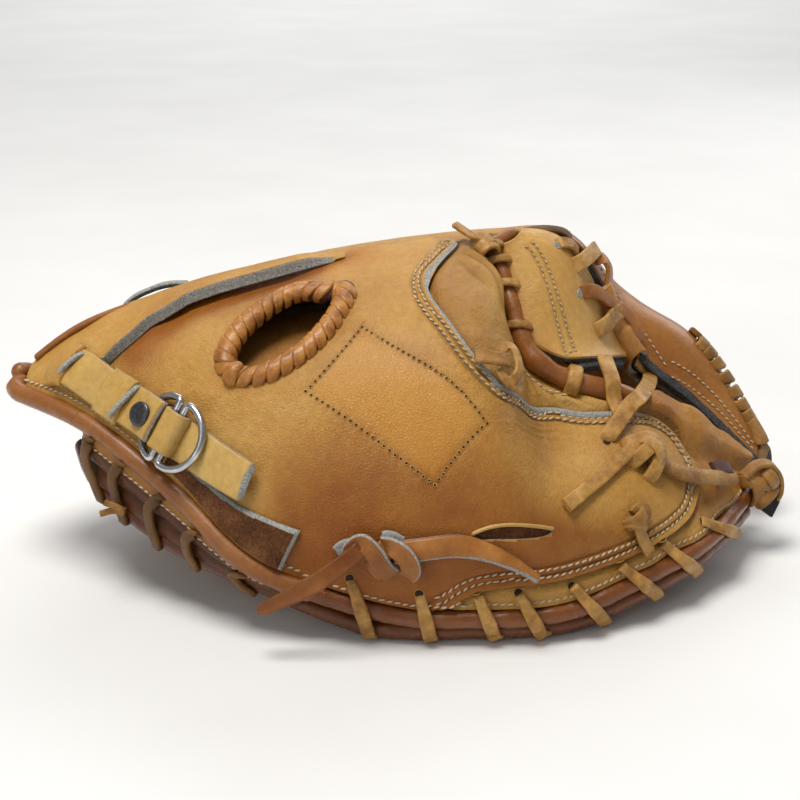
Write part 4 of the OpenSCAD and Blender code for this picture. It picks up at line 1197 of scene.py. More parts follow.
def make_finger_under(border, border_places, tube):
    us = np.linspace(4.1, 8.9, 170)
    nt = 116
    low = from_start(FINGER_ROWS, us, 4.2)
    high = from_end(FINGER_ROWS, us, np.where(us < TUBE_FROM, 1.5, CROTCH_R - 1.2))
    high = high + (1.07 - high) * ease((us - 6.95) / 0.4)
    u = np.repeat(us[:, None], nt, 1)
    v = low[:, None] + (high - low)[:, None] * np.linspace(0, 1, nt)[None]
    base = finger_back(u, v)
    way = face_normal(finger_back, u, np.minimum(v, 0.98))
    places = np.stack([u, v], -1)
    free = 1.0 - inside(places, border_places)
    from_edge = distance_to(base, border[::2]) / MM
    from_tube = np.maximum(distance_to(base, tube[::2]) / MM - CROTCH_R, 0)
    share = from_edge / np.maximum(from_edge + from_tube, 1e-6)
    crotch = free * (v > 0.45) * ease((7.2 - u) / 0.4)
    dome = free * (1 - crotch)
    puff = 3.4 * np.sin(math.pi * np.clip(share, 0, 1)) ** 0.7
    puff = puff * ease((from_edge + from_tube) / 9) * ease(0.25 + from_tube / 9)
    folds = 1.2 * np.sin(from_tube * 0.8 + 4.5 * soft_noise(base, 0.024, 11))
    folds = folds * ease(1.4 * soft_noise(base, 0.02, 12) + 0.3)
    dents = 0.9 * soft_noise(base, 0.011, 13) + 0.45 * soft_noise(base, 0.0045, 17)
    creases = np.sin(v * 95 + u * 16 + 3.5 * soft_noise(base, 0.017, 19))
    creases = creases * ease(1.6 * soft_noise(base, 0.014, 20) + 0.2)
    lift = -2.7 + crotch * (puff + (folds + dents + creases) * ease(from_edge / 4))
    lumps = 1.6 * soft_noise(base, 0.015, 14) + 0.8 * soft_noise(base, 0.006, 15)
    over_tube = ease((u - 6.95) / 0.45) * ease((v - 0.72) / 0.25)
    lift = lift + dome * (2.1 * ease(from_edge / 3.5) + 6.2 * over_tube
                          + lumps * ease(from_edge / 6) * ease((u - 6.4) / 0.9))
    outer = moved(base, way, lift)
    inner = moved(base, way, np.minimum(lift - 1.6, -3.4))
    shade = 0.75 * free * near(from_edge, 1.6) + 0.4 * crotch * near(from_tube, 2.5)
    shade = shade + 0.55 * crotch * ease(-0.9 * (folds + creases)) * ease(from_edge / 4)
    # Painted shade: the dome and its tip side are darkened and tinted warm where they lie in shade. The crotch
    # lining is soiled in patches and darker near the head of the crotch tube.
    tip_side = dome * ease((v - 0.12) / 0.2) * ease((u - 6.6) / 0.6)
    soil = (crotch * (0.35 * ease(soft_noise(base, 0.016, 16) + 0.1) + 0.55 * ease((5.25 - u) / 0.5))
            + tip_side * (0.2 + 0.5 * ease(soft_noise(base, 0.013, 18) + 0.2)) + 0.12 * dome)
    leather_piece = closed_leather("finger_under", outer, inner, [lining_tan, lining_tan, flesh],
                                   seam=np.clip(shade, 0, 1), soil=np.clip(soil, 0, 1), worn=0.8 + 0 * u,
                                   amber=0.4 * tip_side + 0.2 * dome)
    return belongs(leather_piece, "finger_half", "finger_under_leather", slot="soft_leather")


# Lacing


def seen(point):
    """Where a point lies in the picture, across and down."""
    away = np.asarray(point) - np.array(CAMERA_AT)
    depth = away[1] * math.cos(CAMERA_DOWN) - away[2] * math.sin(CAMERA_DOWN)
    rise = away[1] * math.sin(CAMERA_DOWN) + away[2] * math.cos(CAMERA_DOWN)
    return np.array([away[0], -rise]) / depth


def share_in_line(place, first, last):
    """The share of a lace's drift at which its place lies straight between two others in the picture."""
    course = seen(last) - seen(first)
    low, high = -0.6, 1.6
    for _ in range(30):
        middle = (low + high) / 2
        aside = seen(place(middle)) - seen(first)
        if aside[0] * course[1] - aside[1] * course[0] > 0:
            high = middle
        else:
            low = middle
    return (low + high) / 2


def rim_frame(back, palm, v_edge, u, out):
    """At a place on the rim: the middles of its upper and lower roll, and the ways up and out.

    The upper roll's middle stands off the back's edge by a distance in millimetres.
    """
    top = off(back, u, v_edge, out)
    low = palm(u, v_edge)
    along = unit(back(min(u + 0.05, LAST), v_edge) - back(u - 0.05, v_edge))
    up = unit(top - low)
    side = 1 if v_edge == 0 else -1
    return top, low, up, side * unit(np.cross(along, up))


def rim_loop(back, palm, v_edge, u, drift, v_hole, straight=False):
    """The course of a lace from its hole in the back over both welts and under the rim, drifting along it."""
    gap = 1.05 * MM

    def rim_at(share):
        return rim_frame(back, palm, v_edge, min(u + share * drift, LAST), -1.0)

    n = face_normal(back, u, v_hole)
    hole = back(u, v_hole)

    def on_back(share):
        beside = back(min(u + share * drift, LAST), v_hole)
        return beside + (rim_at(share)[0] - beside) * 0.42 + n * 2.0 * MM, n

    def on_welt(rise):
        def place(share):
            top, low, up, out = rim_at(share)
            over = unit((1 - 0.4 * (rise > 0)) * out + rise * up)
            return top + over * (WELT_R * MM + gap), over
        return place

    def between_welts(share):
        top, low, up, out = rim_at(share)
        return (top + low) / 2 + out * (0.8 * WELT_R * MM + gap), out

    def on_low_welt(share):
        top, low, up, out = rim_at(share)
        return low + out * (WELT_R * MM + gap), out

    stops = [hole - n * 3.2 * MM, hole + n * 0.7 * MM]
    lies = [n, n]
    end = on_low_welt(0.9)[0]
    course = ((on_back, 0.16), (on_welt(0.8), 0.36), (on_welt(0.0), 0.54), (between_welts, 0.7),
              (on_low_welt, 0.88))
    for place, share in course:
        if straight:
            share = share_in_line(lambda x: place(x)[0], stops[1], end)
        spot, lie = place(share)
        stops.append(spot)
        lies.append(lie)
    top, low, up, out = rim_at(1.0)
    under = unit(out - 0.75 * up)
    stops += [low + under * (WELT_R * MM + gap), low + unit(0.2 * out - up) * (WELT_R - 1.6) * MM]
    lies += [under, under]
    path = smooth_line(stops, 60)
    path[:, 2] = np.maximum(path[:, 2], 2.0 * MM)
    both = even_line(np.concatenate([path, smooth_line(lies, 60)], 1), 34)
    return both[:, :3], both[:, 3:]


def heel_loop(u, drift=0.13):
    """The course of a lace from under the heel binding, round the rolls of the heel and under them."""
    def heel_at(share):
        return rim_frame(finger_back, finger_palm, 0, u + share * drift, -0.5)

    gap = 1.1 * MM
    top, low, up, out = heel_at(0.3)
    tuck = unit(0.75 * out - 0.66 * up)
    stops = [top + unit(0.2 * out - up) * BINDING_R * MM, top + tuck * (BINDING_R * MM + gap)]
    top, low, up, out = heel_at(-0.25)
    stops.append(low + (top - low) * 0.58 + out * 5.0 * MM)
    top, low, up, out = heel_at(0.2)
    stops.append(low + (top - low) * 0.25 + out * 5.0 * MM)
    top, low, up, out = heel_at(0.9)
    under = unit(out - 0.75 * up)
    stops += [low + out * (WELT_R * MM + gap), low + under * (WELT_R * MM + gap),
              low + unit(0.2 * out - up) * (WELT_R - 1.4) * MM]
    lies = [tuck, tuck, out, out, out, under, under]
    path = smooth_line(stops, 40)
    path[:, 2] = np.maximum(path[:, 2], 1.1 * MM)
    both = even_line(np.concatenate([path, smooth_line(lies, 40)], 1), 28)
    return both[:, :3], both[:, 3:]


def edge_loop(face, u, v, radius, out, lean, from_angle, to_angle, deep=2.2):
    """The course of a lace over a roll along the edge of a face; its ends go down into the leather."""
    c = off(face, u, v, out)
    along = unit(face(min(u + 0.05, LAST), v) - face(max(u - 0.05, 0), v))
    n = face_normal(face, u, v)
    b = np.cross(along, n)
    angle = np.radians(np.linspace(from_angle, to_angle, 17))
    spokes = np.cos(angle)[:, None] * n + np.sin(angle)[:, None] * b
    path = c + spokes * (radius + 0.95) * MM + along * lean * np.linspace(-0.5, 0.5, 17)[:, None] * MM
    path = np.concatenate([[path[0] - n * deep * MM], path, [path[-1] - n * deep * MM]])
    return path, np.concatenate([spokes[:1], spokes, spokes[-1:]])


def knot_arcs(centre, x, n, arcs):
    """The courses of a lace wound over a knot: arcs of (turn in degrees, reach, rise, shift in mm)."""
    y = np.cross(n, x)
    runs = []
    for turn, reach, rise, shift in arcs:
        a = math.radians(turn)
        along = math.cos(a) * x + math.sin(a) * y
        aside = np.cross(n, along)
        t = np.linspace(-1.8, 1.8, 28)[:, None]
        path = centre + (along * np.sin(t) * reach + n * np.cos(t) * rise + aside * shift) * MM
        runs.append((path, unit(along * np.sin(t) * rise + n * np.cos(t) * reach)))
    return runs


def knot_on(face, u, v, lift, arcs):
    """The same for a knot that lies on a face."""
    x = unit(face(u + 0.05, v) - face(u - 0.05, v))
    return knot_arcs(off(face, u, v, lift), x, face_normal(face, u, v), arcs)


def pit_at(face, u, v):
    """A short line just over a face, for one punched hole."""
    return off(face, [u, u + 0.004], [v, v], 0.55)


# Short words for pieces that are tied to their bodies


def cut_leather(skin, edge=raw_grey):
    """The finishes of a cut piece of leather: its skin, its edge and its under side."""
    return [skin, edge, flesh]


def strip(name, stops, n, size, finishes, *nodes, slot="lace_leather", **manner):
    """A strip over the finger half's back through stops of [u, v, lift], of a width and thickness."""
    path, ways = over_face(finger_back, stops, n)
    return belongs(strap(name, path, ways, *size, finishes, **manner), "finger_half", *nodes, slot=slot)


def lacing(name, runs, finish, size, *nodes, body="finger_half"):
    """Laces along their runs, of a width, thickness and rounding."""
    return belongs(laced(name, runs, finish, *size), body, *nodes, slot="lace_leather")


def back_welt(half, face, v, pinches):
    """The welt along the back's edge, from the heel binding to the tip."""
    path, ways = edge_path(face, v, HEEL_END - 0.1, LAST, 220, -1)
    piece = roll(half + "_back_welt_roll", path, ways, WELT_R, welt_brown, pinches)
    belongs(piece, half + "_half", half + "_back_welt", slot="brown_leather")


def palm_welt(half, face, v, pinches, soil=None):
    """The welt along the palm's edge, which rests on the floor."""
    path = face(np.linspace(0.2, LAST, 260), v)
    path[:, 2] = np.maximum(path[:, 2], WELT_R * MM)
    ways = np.broadcast_to([0, 0, 1.0], path.shape)
    piece = roll(half + "_palm_welt_roll", path, ways, WELT_R, welt_brown, pinches, soil=soil)
    belongs(piece, half + "_half", half + "_palm_welt", slot="brown_leather")


def heel_binding(node, body, face, v, nose):
    """The roll that binds the heel, from its nose at the ridge."""
    path, ways = edge_path(face, v, 0.02, HEEL_END + 0.02, 160, -0.5)
    path = np.concatenate([drawn(nose), path])
    ways = np.concatenate([ways[:1], ways[:1], ways])
    piece = roll(node + "_roll", even_line(path, 170), smooth_line(ways[::6], 170), BINDING_R,
                 binding_brown, wrinkle=0.06)
    belongs(piece, body, node, slot="brown_leather")


def palm_leather(half, face, rows, last, low_in, high_in, seed):
    """The palm of a half, set in from the crease and from the rim."""
    def low(u):
        return 1 - from_end(rows, u, low_in)

    def high(u):
        return 1 - from_start(rows, u, high_in)

    def soil(u, v, p):
        return 0.35 * ease(soft_noise(p, 0.05, seed) + 0.4)

    piece = plate(half + "_palm", flipped(face), np.linspace(0.4, last, 150), low, high, 0.2, -2.4,
                  cut_leather(tan), nt=70, lumps=((0.5, 0.04), (0.2, 0.012)), soil=soil)
    belongs(piece, half + "_half", half + "_palm_leather", slot="tan_leather")


def felt_pad(half, face, low, high, crown, under):
    """The felt inside a half, as high as its crown."""
    def top(u, v):
        return crown(u, v) + 0.6

    piece = plate(half + "_padding", face, np.linspace(1.3, 8, 90), low, high, top, under, [felt] * 3,
                  nt=44, lumps=((0.6, 0.02), (0.3, 0.006)), edge=2.5)
    belongs(piece, half + "_half", half + "_pad", slot="felt")


def stall_lining(half, face, u_from, u_to, low, high, soil):
    """The lining on the inner side of a half's back."""
    piece = plate(half + "_stall", flipped(face), np.linspace(u_from, u_to, 70), low, high, 9.9, 8.2,
                  cut_leather(lining_tan), nt=40, lumps=((0.4, 0.02), (0.25, 0.007)), soil=soil)
    belongs(piece, half + "_half", half + "_stall_lining", slot="soft_leather")


# Finger half, put together

place_camera()
light_studio()
lay_floor()
scene.view_settings.view_transform = "Standard"

# Each lace of the rim: where its hole is, and how far it drifts along the rim on its way under it
RIM_LACES = [(3.74, 0.22), (4.36, 0.22), (5.01, 0.3), (5.46, 0.36), (6.06, 0.4), (6.61, 0.5), (7.16, 0.66),
             (7.83, 0.85)]
RIM_US = [u for u, _ in RIM_LACES]
HEEL_US = [1.05, 1.42, 1.86, 2.34, 2.9]
RIM_HOLE = WELT_R + 1.2 + 6


def tube_lift(u):
    """How far the middle of the crotch tube stands off the back's edge, in millimetres."""
    return -1.5 + 2.4 * ease((6.6 - u) / 0.5)


def tube_at(u):
    """The middle of the crotch tube."""
    return off(finger_back, u, 1, tube_lift(u))


tube_head = drawn([[51, 27.5, 127.5], [45, 23.5, 130]])
tube_line = even_line(np.concatenate([tube_head, tube_at(np.linspace(TUBE_FROM, LAST, 40))]), 90)
panel, back_skin, back_border, border_ways, back_places = make_finger_back()
under_leather = make_finger_under(back_border, back_places, tube_line)
under_skin = skin_of(under_leather)
both_skins = skin_of(panel, under_leather)


def slot_side(v):
    """A side of the slot's floor, which runs up the back at a slant."""
    return lambda u: v + 0.115 * (u - 4.9)


slot_floor = plate("slot_suede", finger_back, np.linspace(4.8, 6.0, 30), slot_side(0.125), slot_side(0.235),
                   -1.1, -2.65, [suede_brown] * 3, nt=14)
belongs(slot_floor, "finger_half", slot="suede")
path, ways = over_face(finger_back, [[4.94, 0.19, 0.2], [5.1, 0.21, 0.6], [5.4, 0.243, 0.7],
                                     [5.7, 0.275, 0.6], [5.86, 0.287, 0.2]], 40)
belongs(roll("slot_lip", path, ways, 0.75, strap_tan, sides=10), "finger_half", slot="tan_leather")

back_welt("finger", finger_back, 0, [off(finger_back, u + 0.6 * drift, 0, -1) for u, drift in RIM_LACES])


def heel_soil(p):
    """Painted shade with an even touch of soil: the welt is darker towards the heel, which lies in shadow."""
    return 0.35 + 0.65 * ease((-0.03 - p[:, 0]) / 0.03)


lace_us = [u + drift for u, drift in RIM_LACES] + HEEL_US
palm_welt("finger", finger_palm, 0, [finger_palm(u, 0) for u in lace_us], heel_soil)
heel_binding("heel_binding", "finger_half", finger_back, 0, [[-154.2, 5.0, 73.2], [-155.2, 1.4, 72.2]])

tube_us = np.concatenate([[TUBE_FROM, TUBE_FROM], np.linspace(TUBE_FROM, LAST, 88)])
tube_size = CROTCH_R - 1.1 * ease((0.4 - np.linspace(0, 1, 90)) / 0.25)
crotch_tube = roll("crotch_tube", tube_line, face_normal(finger_back, tube_us, np.ones(90)), tube_size,
                   binding_brown, [tube_at(u) for u in (5.2, 5.42, 5.65, 5.9, 6.25)], wrinkle=0.05)
belongs(crotch_tube, "finger_half", "crotch_roll", slot="brown_leather")


def heel_rolls(u, v, p):
    """Two soft rolls along the heel."""
    return 2.4 * np.abs(np.sin(2 * math.pi * np.clip(v / 0.78, 0, 1))) ** 0.7 - 0.4


# Painted shade: the heel strip lies in deep shadow and takes the darkened heel brown.
gusset = plate("heel_strip", finger_heel, np.linspace(0.9, HEEL_END, 90), 0, 1, 1.2, -0.8,
               cut_leather(shaded_heel_brown, raw_dark), nt=44, lumps=((0.6, 0.012), (0.2, 0.005)),
               shape=heel_rolls)
belongs(gusset, "finger_half", "heel_gusset", slot="brown_leather")
# Painted shade: the band under the heel binding lies in shadow and is darkened all over.
heel_band = plate("heel_band", finger_heel, np.linspace(0.95, 3.2, 70), 0.66, 0.93, 2.6, 0.8,
                  cut_leather(tan, raw_dark), nt=16, lumps=((0.3, 0.01),), soil=0.9)
belongs(heel_band, "finger_half", slot="tan_leather")
palm_leather("finger", finger_palm, FINGER_PALM_ROWS, 8.6, 1.5, 3.0, 21)


def pad_crown(u, v):
    """The crown of the felt, highest under the palm of the hand."""
    crown = 17 * ease((v - 0.2) / 0.4) * ease((8.4 - u) / 2.2) * ease((u - 0.8) / 1.4)
    crown = crown * (1 - 0.6 * ease((u - 4.6) / 1.4))
    return 4.9 + crown * (1 - 0.9 * ease((u - 4.9) / 0.7) * ease((v - 0.4) / 0.45))


felt_pad("finger", finger_palm, 0.24, lambda u: np.where(u < 5.2, 0.96, 0.86), pad_crown, 3.6)
# Painted shade: the lining seen through the finger hole lies in shadow and is darkened all over.
lining = plate("hand_lining_leather", finger_palm, np.linspace(2.2, 5.2, 60), 0.34, 0.965,
               lambda u, v: pad_crown(u, v) + 4.2, lambda u, v: pad_crown(u, v) + 2.6,
               cut_leather(lining_tan), nt=40, lumps=((0.5, 0.02), (0.3, 0.007)), soil=1.0)
belongs(lining, "finger_half", "hand_lining", slot="soft_leather")
stall_lining("finger", finger_back, 3.9, 7, 0.22, 0.64, 0.7)

# Stitched rows and holes of the finger half


def rim_row(skin, u_from, u_to, n, set_in, lift):
    """A row along the rim of the finger half, set in by a distance in millimetres."""
    us = np.linspace(u_from, u_to, n)
    return laid(skin, off(finger_back, us, from_start(FINGER_ROWS, us, set_in), 1.5), lift)


def rim_hole(u):
    """How far up a rib of the finger half the hole of a rim lace is."""
    return float(from_start(FINGER_ROWS, u, RIM_HOLE))


# Lifts off the leather in millimetres, and the sizes of a lace hole
STITCH_LIFT = 0.22
EDGE_STITCH_LIFT = 0.25
NEEDLE_HOLE_LIFT = 0.12
LACE_HOLE_LIFT = 0.02
LACE_HOLE = {"Pitch": 9 * MM, "Radius": 1.8 * MM, "Lip": 0.2 * MM}
rows = [inset(back_border, border_ways, back_skin, distance, 420) for distance in BORDER_ROWS]
rows.append(rim_row(both_skins, 3.42, 8.75, 160, 6.6, EDGE_STITCH_LIFT))
rows.append(rim_row(back_skin, 0.08, 3.36, 90, 7.4, 0.4))
rows.append(laid(skin_of(heel_band), off(finger_heel, np.linspace(1.0, 3.1, 60), 0.73, 4), 0.2))
us = np.linspace(5.06, 6.35, 40)
rows.append(laid(under_skin, off(finger_back, us, from_end(FINGER_ROWS, us, CROTCH_R + 3.4), 4), 0.3))
belongs(sewn("finger_stitches", rows, Pitch=2.9 * MM, Length=2.75 * MM, Thickness=0.86 * MM, Slant=0.3),
        "finger_half")

sides = [even_line(off(finger_back, *np.linspace(a, b, 30).T, 1.0), 30) for a, b in PATCH_SIDES]
rows = [laid(back_skin, side, NEEDLE_HOLE_LIFT) for side in sides]
belongs(punched("needle_holes", rows, tan, Pitch=2.5 * MM, Radius=0.64 * MM, Lip=0.18 * MM), "finger_half")

places = [(u - 0.008, rim_hole(u) + 0.005) for u in RIM_US] + [(6.68, 0.71), (6.84, 0.845)]
pits = [laid(both_skins, pit_at(finger_back, u, v), LACE_HOLE_LIFT) for u, v in places]
belongs(punched("lace_holes", pits, tan, **LACE_HOLE), "finger_half")

# Lacing of the finger half

narrow = np.interp(np.linspace(0, 1, 34), [0, 0.22, 0.5, 1], [0.66, 0.74, 1.0, 0.95])
runs = [rim_loop(finger_back, finger_palm, 0, u, drift, rim_hole(u), straight=True) + (narrow,) for u,
        drift in RIM_LACES]
lacing("rim_lacing_finger", runs, lace_tan, (5.5, 2.4, 1.15), "rim_laces_finger")
heel_runs = [heel_loop(u) for u in HEEL_US]
lacing("heel_lacing", heel_runs, dark_lace, (4.6, 2.2, 0.95), "heel_laces")
LOOSE_ENDS = [[[2, -2, 0], [-2, -3, 1.5], [-7, -3.5, 0.5]], [[2, -2, 1], [-1, -3.6, 3.5], [-5, -4, 5.5]]]
tie_at = heel_runs[1][0][20]
runs = [(even_line(smooth_line(tie_at + np.array(stops) * MM, 24), 16), np.array([-0.3, -1.0, 0.2]))
        for stops in LOOSE_ENDS]
lacing("heel_tie", runs, old_lace, (2.6, 1.5, 0.6))

WRAPS = 27


def make_winding():
    """One unbroken lace wound round the edge of the finger hole, widest where it lies on top."""
    fine = np.linspace(0, 2 * math.pi, 720)
    line = off(finger_back, *hole_places(fine).T, -0.4)
    s = np.concatenate([[0], np.cumsum(np.linalg.norm(np.diff(line, axis=0), axis=1))])
    share = np.linspace(0, 1 - 0.5 / WRAPS, WRAPS * 28)
    turn = 2 * math.pi * share * WRAPS
    a = np.interp((share + 0.4 / WRAPS * np.sin(turn)) * s[-1], s, fine)
    places = hole_places(a)
    centre = off(finger_back, *places.T, -0.3)
    t = unit(finger_back(*hole_places(a + 0.02).T) - finger_back(*places.T))
    n = face_normal(finger_back, *places.T)
    b = np.cross(n, t)
    spoke = np.cos(turn)[:, None] * n * 3.0 + np.sin(turn)[:, None] * b * 3.9
    path = centre + spoke * MM + 0.4 * MM * soft_noise(centre, 0.006, 41)[:, None] * n
    width = (0.6 + 0.45 * np.clip(np.cos(turn), 0, 1)) * (1 + 0.14 * soft_noise(centre, 0.009, 42))
    return path, unit(spoke), width


ring = hole_places(np.linspace(0, 2 * math.pi, 160))
# Painted shade: a dark core under the winding, so that the gaps between the wraps read as shadow.
shade_core = roll("winding_shade_core", off(finger_back, *ring.T, -0.3), face_normal(finger_back, *ring.T), 3.5,
            dye_and_shade_lace, sides=14, flat=0.78)
belongs(shade_core, "finger_half", slot="lace_leather")
lacing("hole_winding", [make_winding()], wrap_brown, (4.8, 2.3, 0.95), "hole_lace_winding")
path, ways = over_face(finger_back, [[2.74, 0.523, 4.0], [2.71, 0.51, 4.2], [2.68, 0.498, 3.4],
                                     [2.66, 0.49, 2.0]], 20)
winding_end = roll("winding_end", path, ways, np.linspace(2.7, 3.7, 20), wrap_brown, wrinkle=0.05, flat=0.7,
                   ends=6)
belongs(winding_end, "finger_half", slot="lace_leather")

# Wrist: flap, strap, rings, snap and suede

FLAP_BAND = 1.5


def flap_edge(u):
    """Where the wrist flap's free edge lies."""
    return np.interp(u, *np.array(FLAP_EDGE).T)


def flap_top(u, v):
    """The flap's free edge stands up and shows its cut side; it thins out at its far end."""
    reach = 3 * (through(FINGER_ROWS, u)[..., 4] + through(FINGER_ROWS, u)[..., 9]) / 2 * 0.87
    from_edge = (v - flap_edge(u)) * reach
    free = ease((u - 0.9) / 0.5) * ease((3.62 - u) / 0.5)
    lip = 3.3 * ease(from_edge / FLAP_BAND) - 1.4 * ease((from_edge - FLAP_BAND) / 14)
    sunk = 1.6 * (1 - ease(from_edge / 7)) * ease((1.1 - u) / 0.2)
    return 0.7 + free * lip - sunk


def flap_under(u, v):
    """The flap's under side, thicker towards the ridge."""
    return flap_top(u, v) - 0.6 - 2.2 * ease((v - flap_edge(u)) / 0.08) * ease((3.75 - u) / 0.5)


flap = plate("wrist_flap_leather", finger_back, np.linspace(0.16, 3.6, 150), flap_edge, 0.999, flap_top,
             flap_under, cut_leather(tan, raw_mid), nt=60, lumps=((0.4, 0.03), (0.15, 0.008)), edge=0.4,
             seed=51, raw={"low": FLAP_BAND}, raw_where=lambda u: (u > 1.24) & (u < 3.5),
             soil=lambda u, v, p: 0.25 * ease(soft_noise(p, 0.03, 53)))
belongs(flap, "finger_half", "wrist_flap", slot="tan_leather")
path, ways = over_face(finger_back, [[0.32, 0.95, 1.4], [0.7, 0.965, 1.8], [1.1, 0.975, 2.2],
                                     [1.5, 0.985, 1.6]], 60)
flap_roll = roll("flap_top_roll", path, ways, 1.5, binding_brown, wrinkle=0.08, sides=14)
belongs(flap_roll, "finger_half", slot="brown_leather")

STRAP_W = 16.5
BAND_W = 19
strip("wrist_strap_leather", [[0.62, 0.56, -1.6], [0.8, 0.495, -1.2], [0.95, 0.43, 0.4], [1.1, 0.365, 1.0],
                              [1.3, 0.29, 1.2], [1.5, 0.262, 1.3], [1.7, 0.25, 3.4], [1.8, 0.244, 5.4],
                              [1.93, 0.237, 7.6]], 120, (STRAP_W, 2.2), cut_leather(strap_tan, raw_dark),
      "wrist_strap", slot="tan_leather", bow=0.4)
strap_runs = {
    "strap_first_run": [[0.86, 0.475, 1.6], [0.93, 0.44, 3.0], [1.02, 0.4, 3.6], [1.12, 0.355, 3.4],
                        [1.22, 0.316, 2.2], [1.32, 0.29, 0.8]],
    "strap_folded_end": [[1.5, 0.26, 3.0], [1.58, 0.255, 4.0], [1.66, 0.25, 4.9], [1.8, 0.244, 7.2],
                         [1.93, 0.237, 9.9]]}
for name, stops in strap_runs.items():
    strip(name, stops, 60, (STRAP_W, 2.3), cut_leather(strap_tan), slot="tan_leather", bow=-0.8, seed=7)

# Bands of the panel that the strap is threaded under, each with the two ends of its cut edge
bands = [("first", tan, [[0.56, 0.585, -1.4], [0.68, 0.54, 0.2], [0.8, 0.5, 2.2], [0.92, 0.448, 3.6]],
          [0.74, 0.345], [1.09, 0.55]),
         ("second", strap_tan, [[1.25, 0.305, 1.2], [1.33, 0.285, 2.2], [1.43, 0.27, 3.0], [1.53, 0.257, 4.2]],
          [1.36, 0.15], [1.69, 0.366])]
for name, finish, stops, low_end, high_end in bands:
    strip(name + "_strap_band", stops, 40, (BAND_W, 2.0), cut_leather(finish, finish), slot="tan_leather",
          bow=-2.0, seed=9)
    share = np.linspace(0, 1, 40)
    places = np.array(low_end) + (np.array(high_end) - np.array(low_end)) * share[:, None]
    rise = stops[-1][2] + 2.6 * np.clip(np.sin(math.pi * share), 0, 1) ** 0.35 + 0.5
    cut = strap(name + "_band_cut", off(finger_back, *places.T, rise), face_normal(finger_back, *places.T),
                2.0, 1.6, [raw_grey] * 3, nv=9, wear=0.3)
    belongs(cut, "finger_half", slot="tan_leather")
strip("strap_under_end", [[0.8, 0.31, 1.2], [0.88, 0.285, 2.2], [0.95, 0.262, 2.2]], 24, (4.4, 1.8),
      cut_leather(raw_grey), slot="tan_leather", nv=11, wear=0.3)

RING_AT = np.array([2.04, 0.225])
ring_way = face_normal(finger_back, *RING_AT)
ring_origin = off(finger_back, *RING_AT, 6.4)
course = finger_back(2.5, 0.215) - finger_back(1.7, 0.25)
ring_x = unit(course - ring_way * (course @ ring_way))
ring_y = np.cross(ring_way, ring_x)
BAR = 1.75
LOOP_R = 2.9


def at_rings(points):
    """Points given in millimetres along the strap, across it and up from it, where the rings are."""
    p = np.asarray(points, float)
    return ring_origin + (p[..., :1] * ring_x + p[..., 1:2] * ring_y + p[..., 2:3] * ring_way) * MM


def d_ring(name, shift, tilt, half_turn):
    """A wire D-ring with its bar on the strap and its bow out to one side."""
    half, leg, wire, bend = 12.5, 1.5, 1.5, 1.5
    bow = np.linspace(-math.pi / 2, math.pi / 2, 48)[1:-1]
    line = [[0, y] for y in np.linspace(half - bend, -half + bend, 14)]
    line += [[bend - bend * math.cos(a), -half + bend - bend * math.sin(a)]
             for a in np.linspace(0.2, math.pi / 2, 5)]
    line += [[leg + half * math.cos(a), half * math.sin(a)] for a in bow]
    line += [[bend - bend * math.sin(a), half - bend + bend * math.cos(a)]
             for a in np.linspace(0, math.pi / 2 - 0.2, 5)]
    flat = np.array(line)
    t = np.roll(flat, -1, 0) - np.roll(flat, 1, 0)
    t = t / np.linalg.norm(t, axis=1, keepdims=True)
    side = np.stack([t[:, 1], -t[:, 0]], 1)
    a = np.linspace(0, 2 * math.pi, 18, endpoint=False)
    ring = flat[:, None] + wire * np.cos(a)[None, :, None] * side[:, None]
    depth = np.broadcast_to((wire * np.sin(a))[None, :, None], ring.shape[:2] + (1,))
    local = np.concatenate([ring, depth], -1)
    x, z = local[..., 0].copy(), local[..., 2].copy()
    local[..., 0] = x * math.cos(tilt) - z * math.sin(tilt)
    local[..., 2] = x * math.sin(tilt) + z * math.cos(tilt)
    if half_turn:
        local[..., :2] *= -1
    local[..., 0] += shift
    count, sides = local.shape[:2]
    i, k = np.meshgrid(np.arange(count), np.arange(sides), indexing="ij")
    ahead, beside = (i + 1) % count, (k + 1) % sides
    faces = np.stack([i * sides + k, i * sides + beside, ahead * sides + beside, ahead * sides + k], -1)
    return make_piece(name, at_rings(local).reshape(-1, 3), faces.reshape(-1, 4), [nickel])


belongs(d_ring("outer_d_ring", BAR, math.radians(5.5), False), "outer_ring", "d_ring_outer", slot="chrome")
belongs(d_ring("inner_d_ring", -BAR, math.radians(-19), True), "inner_ring", "d_ring_inner", slot="chrome")

spokes = [[math.cos(a), math.sin(a)] for a in np.linspace(-math.pi / 2, math.pi / 2, 20)]
spokes += [[-math.sin(a), math.cos(a)] for a in np.linspace(0, math.pi, 20)]
spokes = np.array(spokes + spokes[:1])
around = np.array([[BAR, 0]] * 20 + [[-BAR, 0]] * 20 + [[BAR, 0]]) + LOOP_R * spokes
loop_path = at_rings(np.stack([around[:, 0], 0 * around[:, 0], around[:, 1]], 1))
loop_ways = spokes[:, :1] * ring_x + spokes[:, 1:] * ring_way
strap_loop = strap("strap_loop_leather", loop_path, loop_ways, STRAP_W, 2.0, cut_leather(strap_tan),
                   wear=0.08)
belongs(strap_loop, "finger_half", "strap_loop", slot="tan_leather")


